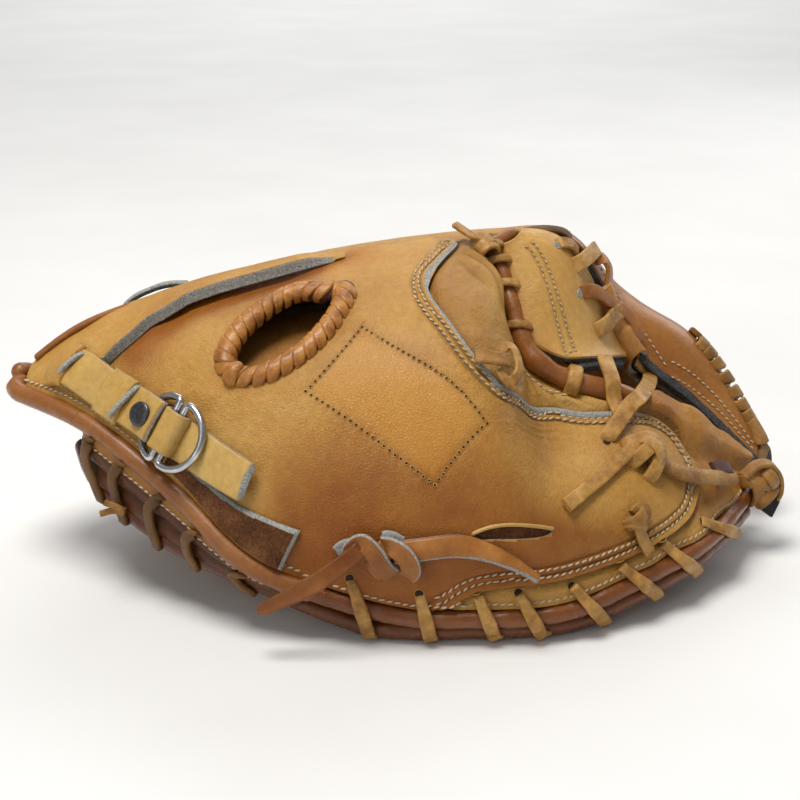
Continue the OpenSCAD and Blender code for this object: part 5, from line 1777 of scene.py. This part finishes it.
def make_snap():
    """The snap's enamelled cap, turned from its profile of [radius, height]."""
    profile = [[0, 2.0], [1.6, 1.98], [3.0, 1.85], [4.0, 1.55], [4.5, 1.2], [4.78, 0.7], [4.78, 0.1],
               [4.4, -0.4], [0, -0.4]]
    a = np.linspace(0, 2 * math.pi, 48, endpoint=False)
    rings = np.array([[[r * math.cos(t), r * math.sin(t), z] for t in a] for r, z in profile[1:-1]])
    verts = np.concatenate([[[0, 0, profile[0][1]]], rings.reshape(-1, 3), [[0, 0, profile[-1][1]]]])
    m = len(a)
    faces = [[0, 1 + k, 1 + (k + 1) % m] for k in range(m)]
    for ring in range(len(profile) - 3):
        first = 1 + ring * m
        faces += [[first + k, first + m + k, first + m + (k + 1) % m, first + (k + 1) % m]
                  for k in range(m)]
    last = len(verts) - 1
    first = last - m
    faces += [[last, first + (k + 1) % m, first + k] for k in range(m)]
    lean = math.radians(8)
    x, z = verts[:, 0].copy(), verts[:, 2].copy()
    verts[:, 0] = x * math.cos(lean) - z * math.sin(lean) - 13
    verts[:, 2] = x * math.sin(lean) + 0.75 * z * math.cos(lean) + 3.2
    return make_piece("snap_cap", at_rings(verts), faces, [black_enamel])


belongs(make_snap(), "finger_half", "strap_snap", slot="black_enamel")


def skewed_back(u, v):
    """The back with u leaning, as the suede's end is cut."""
    v = np.asarray(v, float)
    return finger_back(u + 1.3 * (v - 0.09), v)


def suede_low(u):
    """The suede's lower side, beside the rim."""
    return rim_share(u) + 0.012 + 0.02 * (3.3 - u)


def suede_top(u, v):
    """The suede's lift off the back, which grows towards its free end."""
    return 2.4 + 1.2 * ease((u - 3.1) / 0.22)


suede_strap = plate("suede_strap", skewed_back, np.linspace(1.9, 3.32, 60), suede_low, 0.138, suede_top,
                    0.3, [suede_brown, raw_grey, suede_brown], nt=34, lumps=((0.3, 0.01), (0.15, 0.003)),
                    edge=0.5, raw={"last": 1.9, "high": 1.6})
belongs(suede_strap, "finger_half", "suede_patch", slot="suede")
share = np.linspace(0, 1, 60)
strip("strap_tail_leather", [[2.12, 0.218, 3.4], [2.4, 0.216, 3.5], [2.7, 0.214, 3.7], [2.86, 0.212, 4.2],
                             [2.99, 0.21, 5.2]], 60, (STRAP_W, 2.4), cut_leather(strap_tan), "strap_tail",
      slot="tan_leather", bow=-0.6, taper=1 - 0.1 * share - 0.2 * ease((share - 0.9) / 0.1) ** 2,
      raw={"last": 2.2})

# Web between the halves


def web_face(u, v):
    """The web's face: u runs down it, v from the crotch tube to the thumb half."""
    u, v = np.broadcast_arrays(np.asarray(u, float), np.asarray(v, float))
    t = u / LAST
    left = finger_back(5.1 + 1.2 * t, np.ones(t.shape)) + np.array([3, 4, 4]) * MM
    right = thumb_back(5.3 + 1.7 * t, np.zeros(t.shape)) + np.array([-5, -4, 0]) * MM
    return left + (right - left) * v[..., None] + np.array([2, -4, 1.5]) * MM * (4 * v * (1 - v))[..., None]


def web_normal(u, v):
    """The way up from the web's face."""
    e = 0.03
    du = web_face(u + e, v) - web_face(u - e, v)
    dv = web_face(u, v + e) - web_face(u, v - e)
    return unit(np.cross(du, dv))


def on_web(u, v, lift):
    """Points set off from the web's face by a lift in millimetres."""
    u, v = np.broadcast_arrays(np.asarray(u, float), np.asarray(v, float))
    return moved(web_face(u, v), web_normal(u, v), np.broadcast_to(np.asarray(lift, float), u.shape))


FINGER_SIDE = tuple(drawn([50, -8, 100]))
THUMB_SIDE = tuple(drawn([74, 26, 104]))


def bends(piece, *nodes, slot=None):
    """Ties a piece to both halves, bending between the crotch roll and the thumb half."""
    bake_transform(piece, "finger_half", "thumb_half", start=FINGER_SIDE, end=THUMB_SIDE)
    return belongs(piece, None, *nodes, slot=slot)


WEB_ROWS = [[[1.57, 0.45], [4.2, 0.37], [6.9, 0.22], [8.42, 0.07]],
            [[1.6, 0.575], [4.1, 0.465], [6.65, 0.337], [8.1, 0.215]]]
WEB_LIFT = 1.8


def make_web():
    """The web: one piece of leather folded back under itself round its thumb side."""
    ply, gap = 2.4, 2.2
    bend = np.linspace(0, math.pi, 14)[1:-1]
    u = np.linspace(0.3, 9.25, 80)[:, None]
    radius = (ply + gap) / 2

    def lines(v, depth):
        uu, vv = np.broadcast_arrays(u, v[None])
        return on_web(uu, vv, depth), web_normal(uu, vv)

    top, top_n = lines(np.linspace(-0.03, 1, 44), WEB_LIFT)
    edge, edge_n = lines(np.ones(len(bend)), WEB_LIFT - radius)
    side = unit(web_face(u, np.ones_like(u)) - web_face(u, np.full_like(u, 0.97)))
    spoke = edge_n * np.cos(bend)[None, :, None] + side * np.sin(bend)[None, :, None]
    low, low_n = lines(np.linspace(1, 0.12, 30), WEB_LIFT - 2 * radius)
    centre = np.concatenate([top, edge + spoke * radius * MM, low], 1)
    way = np.concatenate([top_n, spoke, -low_n], 1)
    seam = np.zeros(centre.shape[:2])
    lift = 0.5 * soft_noise(centre, 0.03, 61) + 0.2 * soft_noise(centre, 0.01, 62)
    for stops in WEB_ROWS:
        groove = near(distance_to(centre, on_web(*smooth_line(stops, 30).T, WEB_LIFT)) / MM, 0.8)
        seam += 0.6 * groove
        lift -= 0.45 * groove
    rim = edge_distance(centre) / MM
    outer = moved(centre, way, ply / 2 + lift - rounded(rim, 0.8))
    inner = moved(centre, way, -ply / 2 + rounded(rim, 0.4))
    soil = 0.3 * ease(soft_noise(centre, 0.03, 63)) + 0.4 * near(rim, 3)
    return closed_leather("web_leather_fold", outer, inner, cut_leather(web_tan, raw_dark),
                          seam=np.clip(seam, 0, 1), soil=np.clip(soil, 0, 1))


web = bends(make_web(), "web_panel", "web_fold", slot="tan_leather")
web_skin = skin_of(web)
lines = [smooth_line(stops, 60) for stops in WEB_ROWS]
lines.append(np.linspace(WEB_ROWS[0][-1], WEB_ROWS[1][-1], 12))
rows = [laid(web_skin, on_web(*line.T, 4), STITCH_LIFT) for line in lines]
bends(sewn("web_stitches", rows, Pitch=2.3 * MM, Length=1.8 * MM, Thickness=0.68 * MM))

vs = np.linspace(0.1, 1.0, 40)
lower_ply = strap("web_lower_ply", on_web(9.3, vs, -0.9), web_normal(9.3, vs), 5.4, 3.0, [raw_dark] * 3,
                  taper=1 - 0.5 * ease((vs - 0.85) / 0.15), nv=13, wear=0.5)
bends(lower_ply, slot="tan_leather")

for name, u, v in (("upper_web_cut", 3.0, 0.84), ("lower_web_cut", 5.5, 0.7)):
    vs = np.linspace(v - 0.05, v + 0.05, 16)
    oval = np.sqrt(np.clip(1.02 - np.linspace(-1, 1, 16) ** 2, 0, 1))
    web_cut = strap(name, on_web(u, vs, 3.2), web_normal(u, vs), 3.6, 0.8, [raw_mid] * 3, taper=oval, nv=9)
    bends(web_cut, slot="tan_leather")

# Laces that tie the web to the crotch tube

TUBE_LOOPS = [(5.1, -5), (5.24, -4), (5.43, -4.5), (5.74, -6)]
runs = []
for tube_u, lean in TUBE_LOOPS:
    path, ways = edge_loop(finger_back, tube_u, 1, CROTCH_R - 0.5, tube_lift(tube_u), lean, -118, 104, 3.4)
    both = even_line(np.concatenate([path, ways], 1), 30)
    runs.append((both[:, :3], both[:, 3:]))
runs.append((*edge_loop(finger_back, 6.45, 1, CROTCH_R, tube_lift(6.45), 0, -110, 100), 1.8))
lacing("web_lacing_finger", runs, lace_tan, (3.3, 1.8, 0.85), "web_laces_finger")

strip("crotch_lace_end", [[4.84, 0.572, 4.0], [4.94, 0.58, 4.6], [5.04, 0.592, 5.0], [5.17, 0.618, 5.4]],
      30, (5.4, 2.0), cut_leather(old_lace, old_lace), nv=13, wear=0.4)
runs = [over_face(finger_back, [[5.13, 0.65, 2.0], [5.18, 0.66, 5.8], [5.24, 0.625, 7.0],
                                [5.24, 0.592, 5.4], [5.2, 0.572, 2.4]]),
        over_face(finger_back, [[5.1, 0.585, 2.4], [5.2, 0.572, 3.6], [5.33, 0.6, 4.2], [5.37, 0.645, 4.0],
                                [5.3, 0.668, 3.0]], 30)]
lacing("crotch_lace_loop", runs, lace_tan, (4.2, 1.8, 0.8))

# Knots and thongs

runs = knot_on(finger_back, 7.03, 0.62, 1.0, [(64, 8.0, 5.4, -4.0), (38, 7.2, 7.2, 1.6),
                                              (10, 6.6, 5.0, 5.6), (-52, 6.6, 8.6, 0.8)])
runs.append(over_face(finger_back, [[6.96, 0.69, 3.0], [7.04, 0.71, 5.6], [7.13, 0.68, 6.4],
                                    [7.15, 0.62, 6.0], [7.1, 0.57, 3.6]], 30))
runs.append(over_face(finger_back, [[7.02, 0.665, 6.6], [6.9, 0.645, 5.4], [6.72, 0.588, 3.0],
                                    [6.5, 0.514, 2.4], [6.04, 0.385, 2.8]], 34))
lacing("web_knot_lace", runs, lace_tan, (5.6, 2.0, 0.8), "web_knot")
strip("knot_right_lace", [[7.1, 0.62, 4.6], [7.22, 0.585, 3.4], [7.42, 0.528, 3.2], [7.75, 0.49, 3.8],
                          [8.2, 0.455, 4.6], [8.4, 0.45, 4.4]], 60, (6.4, 2.6),
      cut_leather(lace_tan, lace_tan), bow=-0.7, wear=1.0, nv=15, seed=5, soil=0.35, worn=1.0)

TIP_X = unit([0.75, 0.6, -0.25])
TIP_WAY = unit([0.25, -0.85, 0.45])
tip_y = np.cross(TIP_WAY, TIP_X)
tip_centre = drawn([149, 5, 28])
runs = knot_arcs(tip_centre, TIP_X, TIP_WAY, [(16, 9.6, 6.0, 4.6), (-12, 8.4, 6.8, -0.4),
                                              (38, 7.6, 5.2, -5.2), (-74, 7.4, 7.6, -4.6),
                                              (-50, 6.4, 8.2, 3.4)])
loop = smooth_line([[-10, 4, 2], [-5, 8.5, 6], [3, 9, 8], [9.5, 4, 7], [11.5, -3, 4], [9, -8, 1]], 30)
loop = tip_centre + (loop[:, :1] * TIP_X + loop[:, 1:2] * tip_y + loop[:, 2:] * TIP_WAY) * MM
runs.append((loop, unit(loop - tip_centre), 0.95))
lacing("tip_knot_lace", runs, old_lace, (5.4, 2.3, 0.9), "tip_knot")
strip("dyed_lace_end", [[8.0, 0.56, 4.4], [8.1, 0.56, 5.2], [8.2, 0.556, 5.6], [8.32, 0.545, 5.0]], 30,
      (6.4, 2.2), [dye_and_shade_lace] * 3, wear=0.3, nv=13)
path = even_line(smooth_line(tip_centre + np.array([[-2, -1, -3.5], [3, -1.5, -6.5], [8, -1, -10.5]]) * MM,
                             30), 24)
dark_end = strap("dark_lace_end", path, np.broadcast_to(TIP_WAY, path.shape), 8.0, 2.6, [black_lace] * 3,
                 wear=0.4, nv=13)
belongs(dark_end, "finger_half", slot="lace_leather")

runs = knot_on(finger_back, 6.81, 0.285, 0.8, [(25, 4.4, 4.0, 0.6), (-20, 4.0, 3.2, -1.6)])
runs.append(over_face(finger_back, [[6.8, 0.315, 1.0], [6.84, 0.335, 2.6], [6.9, 0.325, 3.2],
                                    [6.9, 0.295, 2.8], [6.86, 0.275, 1.2]]))
runs.append(over_face(finger_back, [[6.79, 0.26, 3.4], [6.82, 0.22, 2.8], [6.87, 0.17, 2.2],
                                    [6.93, 0.118, 2.4]]))
lacing("small_knot_lace", runs, old_lace, (4.8, 1.8, 0.7), "small_knot")

runs = knot_on(finger_back, 4.02, 0.128, 0.4, [(-50, 5.0, 4.8, -2.4), (55, 5.4, 5.0, 3.0)])
lacing("thong_knot", runs, thong_brown, (7.6, 2.3, 0.8), "front_thong")
thong_loops = {
    "thong_left_loop": [[3.74, 0.108, 2.0], [3.76, 0.138, 5.4], [3.84, 0.16, 7.0], [3.94, 0.146, 7.6],
                        [4.02, 0.118, 6.6], [4.1, 0.1, 4.0]],
    "thong_right_loop": [[3.98, 0.16, 4.0], [4.1, 0.163, 6.2], [4.22, 0.15, 7.2], [4.28, 0.122, 6.4],
                         [4.22, 0.1, 3.4]]}
for name, stops in thong_loops.items():
    strip(name, stops, 50, (7.0, 2.2), cut_leather(thong_brown), bow=0.7, nv=15, raw={"high": 0.9})

share = np.linspace(0, 1, 70)
path, ways = over_face(finger_back, [[4.1, 0.15, 4.6], [4.29, 0.158, 4.2], [4.68, 0.166, 3.4],
                                     [5.01, 0.161, 3.0], [5.39, 0.146, 3.6], [5.63, 0.122, 4.8]], 70)
twisted = ways + 0.45 * np.cross(ways, tangents(path)) * share[:, None]
right_thong = strap("thong_right_tail", path, twisted, 8.4, 2.3, cut_leather(thong_brown), bow=-0.9,
                    taper=1 - 0.6 * ease((share - 0.45) / 0.55), raw={"low": 1.0})
belongs(right_thong, "finger_half", slot="lace_leather")

share = np.linspace(0, 1, 50)
path = smooth_line(drawn([[-14, -83.5, 41], [-25, -87, 33], [-37, -88.5, 26], [-51.5, -88.5, 18.6]]), 60)
path = even_line(path, 50)
narrowing = 0.9 + 0.1 * ease(share / 0.4) - 0.25 * ease((share - 0.5) / 0.4)
rounded_end = np.sqrt(1 - 0.93 * np.clip((share - 0.88) / 0.12, 0, 1) ** 2)
# Painted shade: the left tail lies in shade and is darkened all over.
left_thong = strap("thong_left_tail", path, np.broadcast_to(unit([-0.05, -1, 0.35]), path.shape), 6.8, 2.2,
                   cut_leather(thong_brown, thong_brown), bow=0.4, taper=narrowing * rounded_end, soil=0.8)
belongs(left_thong, "finger_half", slot="lace_leather")
raw_ends = {"left_raw_end": [[3.64, 0.118, 1.6], [3.69, 0.136, 3.0], [3.76, 0.148, 3.4]],
            "right_raw_end": [[4.0, 0.178, 3.2], [4.08, 0.182, 3.4], [4.18, 0.172, 2.6]]}
for name, stops in raw_ends.items():
    strip(name, stops, 24, (4.2, 2.4), [raw_grey] * 3, wear=0.7, nv=13)

runs = knot_on(finger_back, 4.98, 0.972, 1.0, [(65, 4.2, 4.0, 3.0), (75, 4.4, 4.2, 0.0),
                                               (60, 4.0, 3.8, -3.0)])
runs.append(over_face(finger_back, [[4.92, 0.965, 4.0], [4.82, 0.962, 4.2], [4.74, 0.972, 5.0],
                                    [4.66, 0.985, 6.4]]))
lacing("ridge_knot_lace", runs, lace_tan, (4.0, 1.8, 0.6), "ridge_knot")

# Laces, leather and creases that bend between the halves

over_tube = off(finger_back, 6.78, 1, CROTCH_R + 1.0)
tube_way = face_normal(finger_back, np.array(6.78), np.array(1.0))
back_way = face_normal(finger_back, np.array(6.8), np.array(0.8))
near_cross = [over_tube + np.array([-2, 12, 6]) * MM, over_tube]
near_cross += [off(finger_back, *place) for place in ((6.82, 0.93, 1.6), (6.86, 0.86, 1.4),
                                                      (6.86, 0.84, -2.0))]
far_cross = [thumb_back(7.08, 0), thumb_back(7.3, 0) + np.array([0, -1.5, -1]) * MM]
far_cross += [off(finger_back, *place) for place in ((7.06, 0.97, 5.6), (6.96, 0.91, 3.6),
                                                     (6.84, 0.82, 3.4), (6.7, 0.73, 1.6),
                                                     (6.68, 0.71, -2.0))]
cross_ways = smooth_line([tube_way, tube_way, back_way, back_way], 30)
runs = [(even_line(smooth_line(stops, 40), 30), cross_ways) for stops in (near_cross, far_cross)]
bends(laced("crossing_laces", runs, lace_tan, 6.6, 1.8, 0.6), "cross_laces", slot="lace_leather")

top_stops = drawn([[42, 21.5, 128.0], [47, 23, 130.4], [56.9, 24.5, 132.2], [66, 26, 131.0],
                   [70, 27, 127.5]])
runs = [(even_line(smooth_line(top_stops, 40), 30), np.array([0.1, -0.5, 1.0]))]
bends(laced("top_lace", runs, dark_lace, 4.2, 1.7, 0.7), slot="lace_leather")

ridge_gap = between(lambda u: finger_back(u, 0.985), lambda u: thumb_back(u, 0.02))
ridge_seam = plate("ridge_seam_leather", ridge_gap, np.linspace(0.2, 4.9, 140), 0, 1, -0.5, -2.0,
                   cut_leather(tan, tan), nt=12, lumps=((0.2, 0.01),), soil=0.5)
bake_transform(ridge_seam, "finger_half", "thumb_half", start=tuple(drawn([-20, 17, 122])),
         end=tuple(drawn([-20, 25, 122])))
belongs(ridge_seam, None, slot="tan_leather")

crease = plate("palm_crease_leather", flipped(palm_fold), np.linspace(0.4, 5, 70), 0, 1, 0.3, -2.4,
               cut_leather(tan), nt=14, soil=0.5)
bends(crease, "palm_crease", slot="tan_leather")

# Thumb half


def thumb_low(u):
    """Where the thumb half's back begins, at the ridge and the web."""
    return from_start(THUMB_ROWS, u, 0.8)


def thumb_high(u):
    """Where it ends, beside the binding or the welt."""
    return from_end(THUMB_ROWS, u, np.where(u < HEEL_END, 4.8, WELT_SET_IN))


def thumb_top(u, v):
    """The thumb half's back lies a little lower along the ridge, under the back of the finger half."""
    return 0.35 - 1.3 * ease(1 - v / 0.12) * ease((u - 2.6) / 0.5) * ease((4.9 - u) / 0.3)


def thumb_creases(u, v, p):
    """Creases beside the tip's seam and soft dents at the heel."""
    beside = near(u - 5.25, 0.45) * ease((v - 0.15) / 0.2)
    creased = np.sin(v * 58 + 3.4 * soft_noise(p, 0.013, 75)) * ease(soft_noise(p, 0.014, 76) + 0.3)
    return 0.5 * beside * creased + 0.9 * soft_noise(p, 0.017, 77) * ease((2.4 - u) / 1.2)


def thumb_soil(u, v, p):
    """Soil in patches, and the leather darker towards the rim."""
    return 0.5 * ease(soft_noise(p, 0.03, 74) + 0.1) + 0.6 * ease((v - 0.6) / 0.4)


us = np.linspace(0.5, 5.68, 120)
thumb_rows = [off(thumb_back, us, from_end(THUMB_ROWS, us, set_in), 1.5) for set_in in (13.4, 16.2)]
thumb_grooves = [(line[::2], 0.45, 0.8) for line in thumb_rows]
thumb_panel = plate("thumb_back_leather_panel", thumb_back, np.linspace(0.12, 5.8, 160), thumb_low,
                    thumb_high, thumb_top, -2.2, cut_leather(tan), nt=80,
                    lumps=((0.7, 0.034), (0.2, 0.011)), seed=71, shape=thumb_creases, worn=0.6,
                    grooves=thumb_grooves, soil=thumb_soil)
belongs(thumb_panel, "thumb_half", "thumb_back_panel", slot="tan_leather")


def tip_edge(u, v, p):
    """The front edge of the tip panel stands up, thick and cut square."""
    from_front = v * 3 * through(THUMB_ROWS, u)[..., 4]
    return 2.2 * ease(1 - from_front / 9) * ease((u - 7.0) / 0.3)


tip_seam = uv_line(thumb_back, [[6.2, 0.1], [6.63, 0.126], [7.1, 0.12], [7.5, 0.06]], 60, 1.4)
tip_panel = plate("thumb_tip_leather", thumb_back, np.linspace(5.72, 9.14, 150), thumb_low, thumb_high, 1.3,
                  -2.6, cut_leather(brown, raw_dark), nt=90, lumps=((0.6, 0.03), (0.15, 0.01)), seed=81,
                  shape=tip_edge, grooves=[(tip_seam[::4], 0.4, 0.8)],
                  soil=lambda u, v, p: 0.3 * ease((v - 0.8) / 0.2), raw={"low": 4.4},
                  raw_where=lambda u: u > 7.12)
belongs(tip_panel, "thumb_half", "thumb_tip_panel", slot="brown_leather")
thumb_skin = skin_of(thumb_panel, tip_panel)


def make_tunnel():
    """The front edge of the tip panel, rolled back on itself as a tunnel for the web lace."""
    angle = np.radians(np.linspace(-155, 155, 40))
    end_way = face_normal(thumb_back, np.array(7.2), np.array(0.0))
    end_along = unit(thumb_back(7.25, 0.0) - thumb_back(7.15, 0.0))
    end_side = np.cross(end_along, end_way)
    front = (np.cos(angle)[:, None] * end_way - np.sin(angle)[:, None] * end_side) @ unit([0.0, -1.0, 0.3])
    us = 6.4 + np.linspace(0, 1, 60)[:, None] * (0.86 - 0.13 * (1 + front))[None]
    path = thumb_back(us, 0 * us)
    t = unit(thumb_back(us + 0.02, 0 * us) - thumb_back(us - 0.02, 0 * us))
    n = face_normal(thumb_back, us, 0 * us)
    n = unit(n - t * np.sum(n * t, -1, keepdims=True))
    b = np.cross(t, n)
    spoke = np.cos(angle)[None, :, None] * n - np.sin(angle)[None, :, None] * b
    outer = path + spoke * 5.0 * MM
    rim = edge_distance(outer) / MM
    sleeve = ease((us - 6.72) / 0.06)
    size = 5.0 + 1.1 * sleeve + 0.25 * soft_noise(outer, 0.01, 91)
    outer = moved(path, spoke, size - rounded(rim, 0.6))
    inner = moved(path, spoke, 2.6 + 1.2 * sleeve)
    return closed_leather("thumb_tunnel_leather", outer, inner, [sleeve_tan, raw_mid, raw_dark])


path, ways = over_face(thumb_back, [[1.42, 0.03, 0.8], [1.6, 0.03, 2.8], [1.85, 0.03, 3.0],
                                    [2.04, 0.03, 0.8]], 40)
ridge_edge = strap("ridge_cut_edge", path, ways, 6.0, 2.2, [raw_mid, raw_dark, raw_dark], nv=11, wear=0.4)
belongs(ridge_edge, "thumb_half", slot="tan_leather")
belongs(make_tunnel(), "thumb_half", "thumb_tunnel", slot="brown_leather")

back_welt("thumb", thumb_back, 1, [off(thumb_back, u, 1, -1) for u in RIM_US])
palm_welt("thumb", thumb_palm, 1, [thumb_palm(u, 1) for u in RIM_US])
heel_binding("thumb_heel_binding", "thumb_half", thumb_back, 1, [[-154.6, 9.0, 76.5], [-153.5, 13.5, 75]])
gusset = plate("thumb_heel_strip", thumb_heel, np.linspace(0.9, HEEL_END, 70), 0, 1, 1.6, -0.8,
               cut_leather(welt_brown, raw_dark), nt=24, lumps=((0.7, 0.012), (0.2, 0.005)))
belongs(gusset, "thumb_half", "thumb_heel_gusset", slot="brown_leather")
palm_leather("thumb", thumb_palm, THUMB_PALM_ROWS, 8.8, 3.0, 1.5, 22)


def thumb_pad_base(u):
    """How far the under side of the thumb's felt stands off the palm, in millimetres."""
    return 4.1 + 2.4 * (1 - ease(np.abs(u - 5.9)))


def thumb_crown(u, v):
    """The crown of the thumb's felt, highest beside the crease."""
    crown = 17 * ease((0.8 - v) / 0.4) * ease((8.4 - u) / 2.2) * ease((u - 1.1) / 1.8)
    crown = crown * (1 - 0.5 * ease((u - 4.6) / 1.4))
    crown = crown * (1 - 0.9 * ease((u - 4.9) / 0.7) * ease((0.55 - v) / 0.45))
    return thumb_pad_base(u) + 0.8 + crown


felt_pad("thumb", thumb_palm, lambda u: np.where(u < 5.2, 0.04, 0.12),
         lambda u: np.where(u < 2.7, 0.53, 0.74), thumb_crown, lambda u, v: thumb_pad_base(u) - 0.4)
stall_lining("thumb", thumb_back, 2.4, 5.6, 0.5, 0.8, 0.6)

runs = [rim_loop(thumb_back, thumb_palm, 1, u, 0.22, float(from_end(THUMB_ROWS, u, RIM_HOLE)))
        for u in np.linspace(3.73, 7.83, 8)]
lacing("rim_lacing_thumb", runs, lace_tan, (5.6, 2.0, 0.85), "rim_laces_thumb", body="thumb_half")


def web_to_thumb(stops, n=34):
    """The course of a lace through stops of (a place on the web or the thumb half, u, v, lift)."""
    places = []
    lies = []
    for where, u, v, lift in stops:
        u, v = np.array(float(u)), np.array(float(v))
        places.append(on_web(u, v, lift) if where == "web" else off(thumb_back, u, v, lift))
        lies.append(web_normal(u, v) if where == "web" else face_normal(thumb_back, u, v))
    both = even_line(np.concatenate([smooth_line(places, 60), smooth_line(lies, 60)], 1), n)
    return both[:, :3], both[:, 3:]


runs = [web_to_thumb([("web", 3.0, 0.85, -1), ("web", 3.05, 0.88, 4.0), ("web", 3.6, 0.96, 5.0),
                      ("web", 4.1, 0.99, 4.0)]) + (0.75,),
        web_to_thumb([("web", 4.35, 0.8, 0), ("web", 4.4, 0.84, 4.6), ("web", 4.5, 0.94, 6.0),
                      ("thumb", 6.16, 0.05, 5.0), ("thumb", 6.2, 0.11, 3.0), ("thumb", 6.22, 0.14, -1)]),
        web_to_thumb([("web", 7.4, 0.62, 0), ("web", 7.35, 0.68, 4.6), ("web", 7.25, 0.82, 6.0),
                      ("web", 7.1, 0.97, 6.4), ("thumb", 6.66, 0.03, 4.5), ("thumb", 6.64, 0.07, 1.0)])]
lacing("web_lacing_thumb", runs, lace_tan, (6.4, 1.9, 0.6), "web_laces_thumb", body="thumb_half")
runs = [web_to_thumb([("web", 5.5, 0.7, -1), ("web", 5.55, 0.75, 4.2), ("web", 5.9, 0.88, 5.6),
                      ("web", 6.5, 1.0, 6.0), ("thumb", 6.78, 0.05, 5.0), ("thumb", 6.95, 0.06, 5.0),
                      ("thumb", 7.06, 0.05, 3.0)]),
        web_to_thumb([("thumb", 6.2, 0.02, 3), ("thumb", 6.26, 0.05, 5.4), ("thumb", 6.36, 0.05, 5.6),
                      ("thumb", 6.44, 0.02, 3)], 20)]
lacing("brown_web_lacing", runs, thong_brown, (6.0, 2.0, 0.7), body="thumb_half")

WHIPS = 11


def make_whip():
    """One unbroken lace whipped over the seam of the thumb tip."""
    share = np.linspace(0, 1, WHIPS * 28)
    places = smooth_line([[7.85, 0.36], [8.2, 0.38], [8.6, 0.4], [8.88, 0.41], [9.0, 0.38]], len(share))
    centre = off(thumb_back, *places.T, 0.9)
    n = face_normal(thumb_back, *places.T)
    b = np.cross(n, tangents(centre))
    turn = 2 * math.pi * share * WHIPS
    spoke = np.cos(turn)[:, None] * n * 2.6 + np.sin(turn)[:, None] * b * 5.4
    return centre + spoke * MM, unit(spoke), 0.75 + 0.3 * np.clip(np.cos(turn), 0, 1)


lacing("whip_lacing", [make_whip()], old_lace, (6.0, 2.2, 1.05), "whip_lace", body="thumb_half")

lines = [tip_seam]
for shift in (0.0, 0.05):
    lines.append(uv_line(thumb_back, [[7.62, 0.035 + shift], [8.1, 0.06 + shift], [8.55, 0.085 + shift],
                                      [8.9, 0.1 + shift]], 60, 2.4))
lines.append(uv_line(thumb_back, [[8.05, 0.34], [8.5, 0.29], [8.95, 0.22]], 60, 2.4))
lines += [off(thumb_back, seam_u, np.linspace(0.06, 0.95, 90), 2.4) for seam_u in (5.8, 5.88)]
rows = [laid(thumb_skin, line, STITCH_LIFT) for line in lines + thumb_rows]
us = np.linspace(0.1, 8.8, 200)
set_in = np.where(us < HEEL_END, 6.4, 6.8)
rows.append(laid(thumb_skin, off(thumb_back, us, from_end(THUMB_ROWS, us, set_in), 1.5), EDGE_STITCH_LIFT))
belongs(sewn("thumb_stitches", rows), "thumb_half")

# The lace that holds the thumb loop, tied on the thumb half's back
TIE_V = 0.545
TIE_ENDS = (3.86, 4.72)
THUMB_TIE = [[[TIE_ENDS[0], TIE_V, -2.4], [3.9, 0.548, 1.8], [4.08, 0.553, 2.2], [4.26, 0.556, 4.0]],
             [[4.34, 0.56, 4.0], [4.52, 0.553, 2.2], [4.68, 0.548, 1.8], [TIE_ENDS[1], TIE_V, -2.4]],
             [[4.27, 0.575, 4.6], [4.2, 0.61, 3.2], [4.14, 0.66, 2.2], [4.1, 0.7, 2.0]],
             [[4.33, 0.575, 4.6], [4.39, 0.61, 3.4], [4.42, 0.65, 2.4], [4.44, 0.69, 2.2]]]
runs = knot_on(thumb_back, 4.3, 0.56, 1.4, [(25, 4.6, 4.2, 0.8), (-20, 4.2, 3.6, -1.6)])
runs += [over_face(thumb_back, stops) for stops in THUMB_TIE]
lacing("thumb_loop_lace", runs, old_lace, (4.8, 1.8, 0.7), body="thumb_half")
pits = [laid(thumb_skin, pit_at(thumb_back, u, TIE_V), LACE_HOLE_LIFT) for u in TIE_ENDS]
belongs(punched("thumb_lace_holes", pits, tan, **LACE_HOLE), "thumb_half")
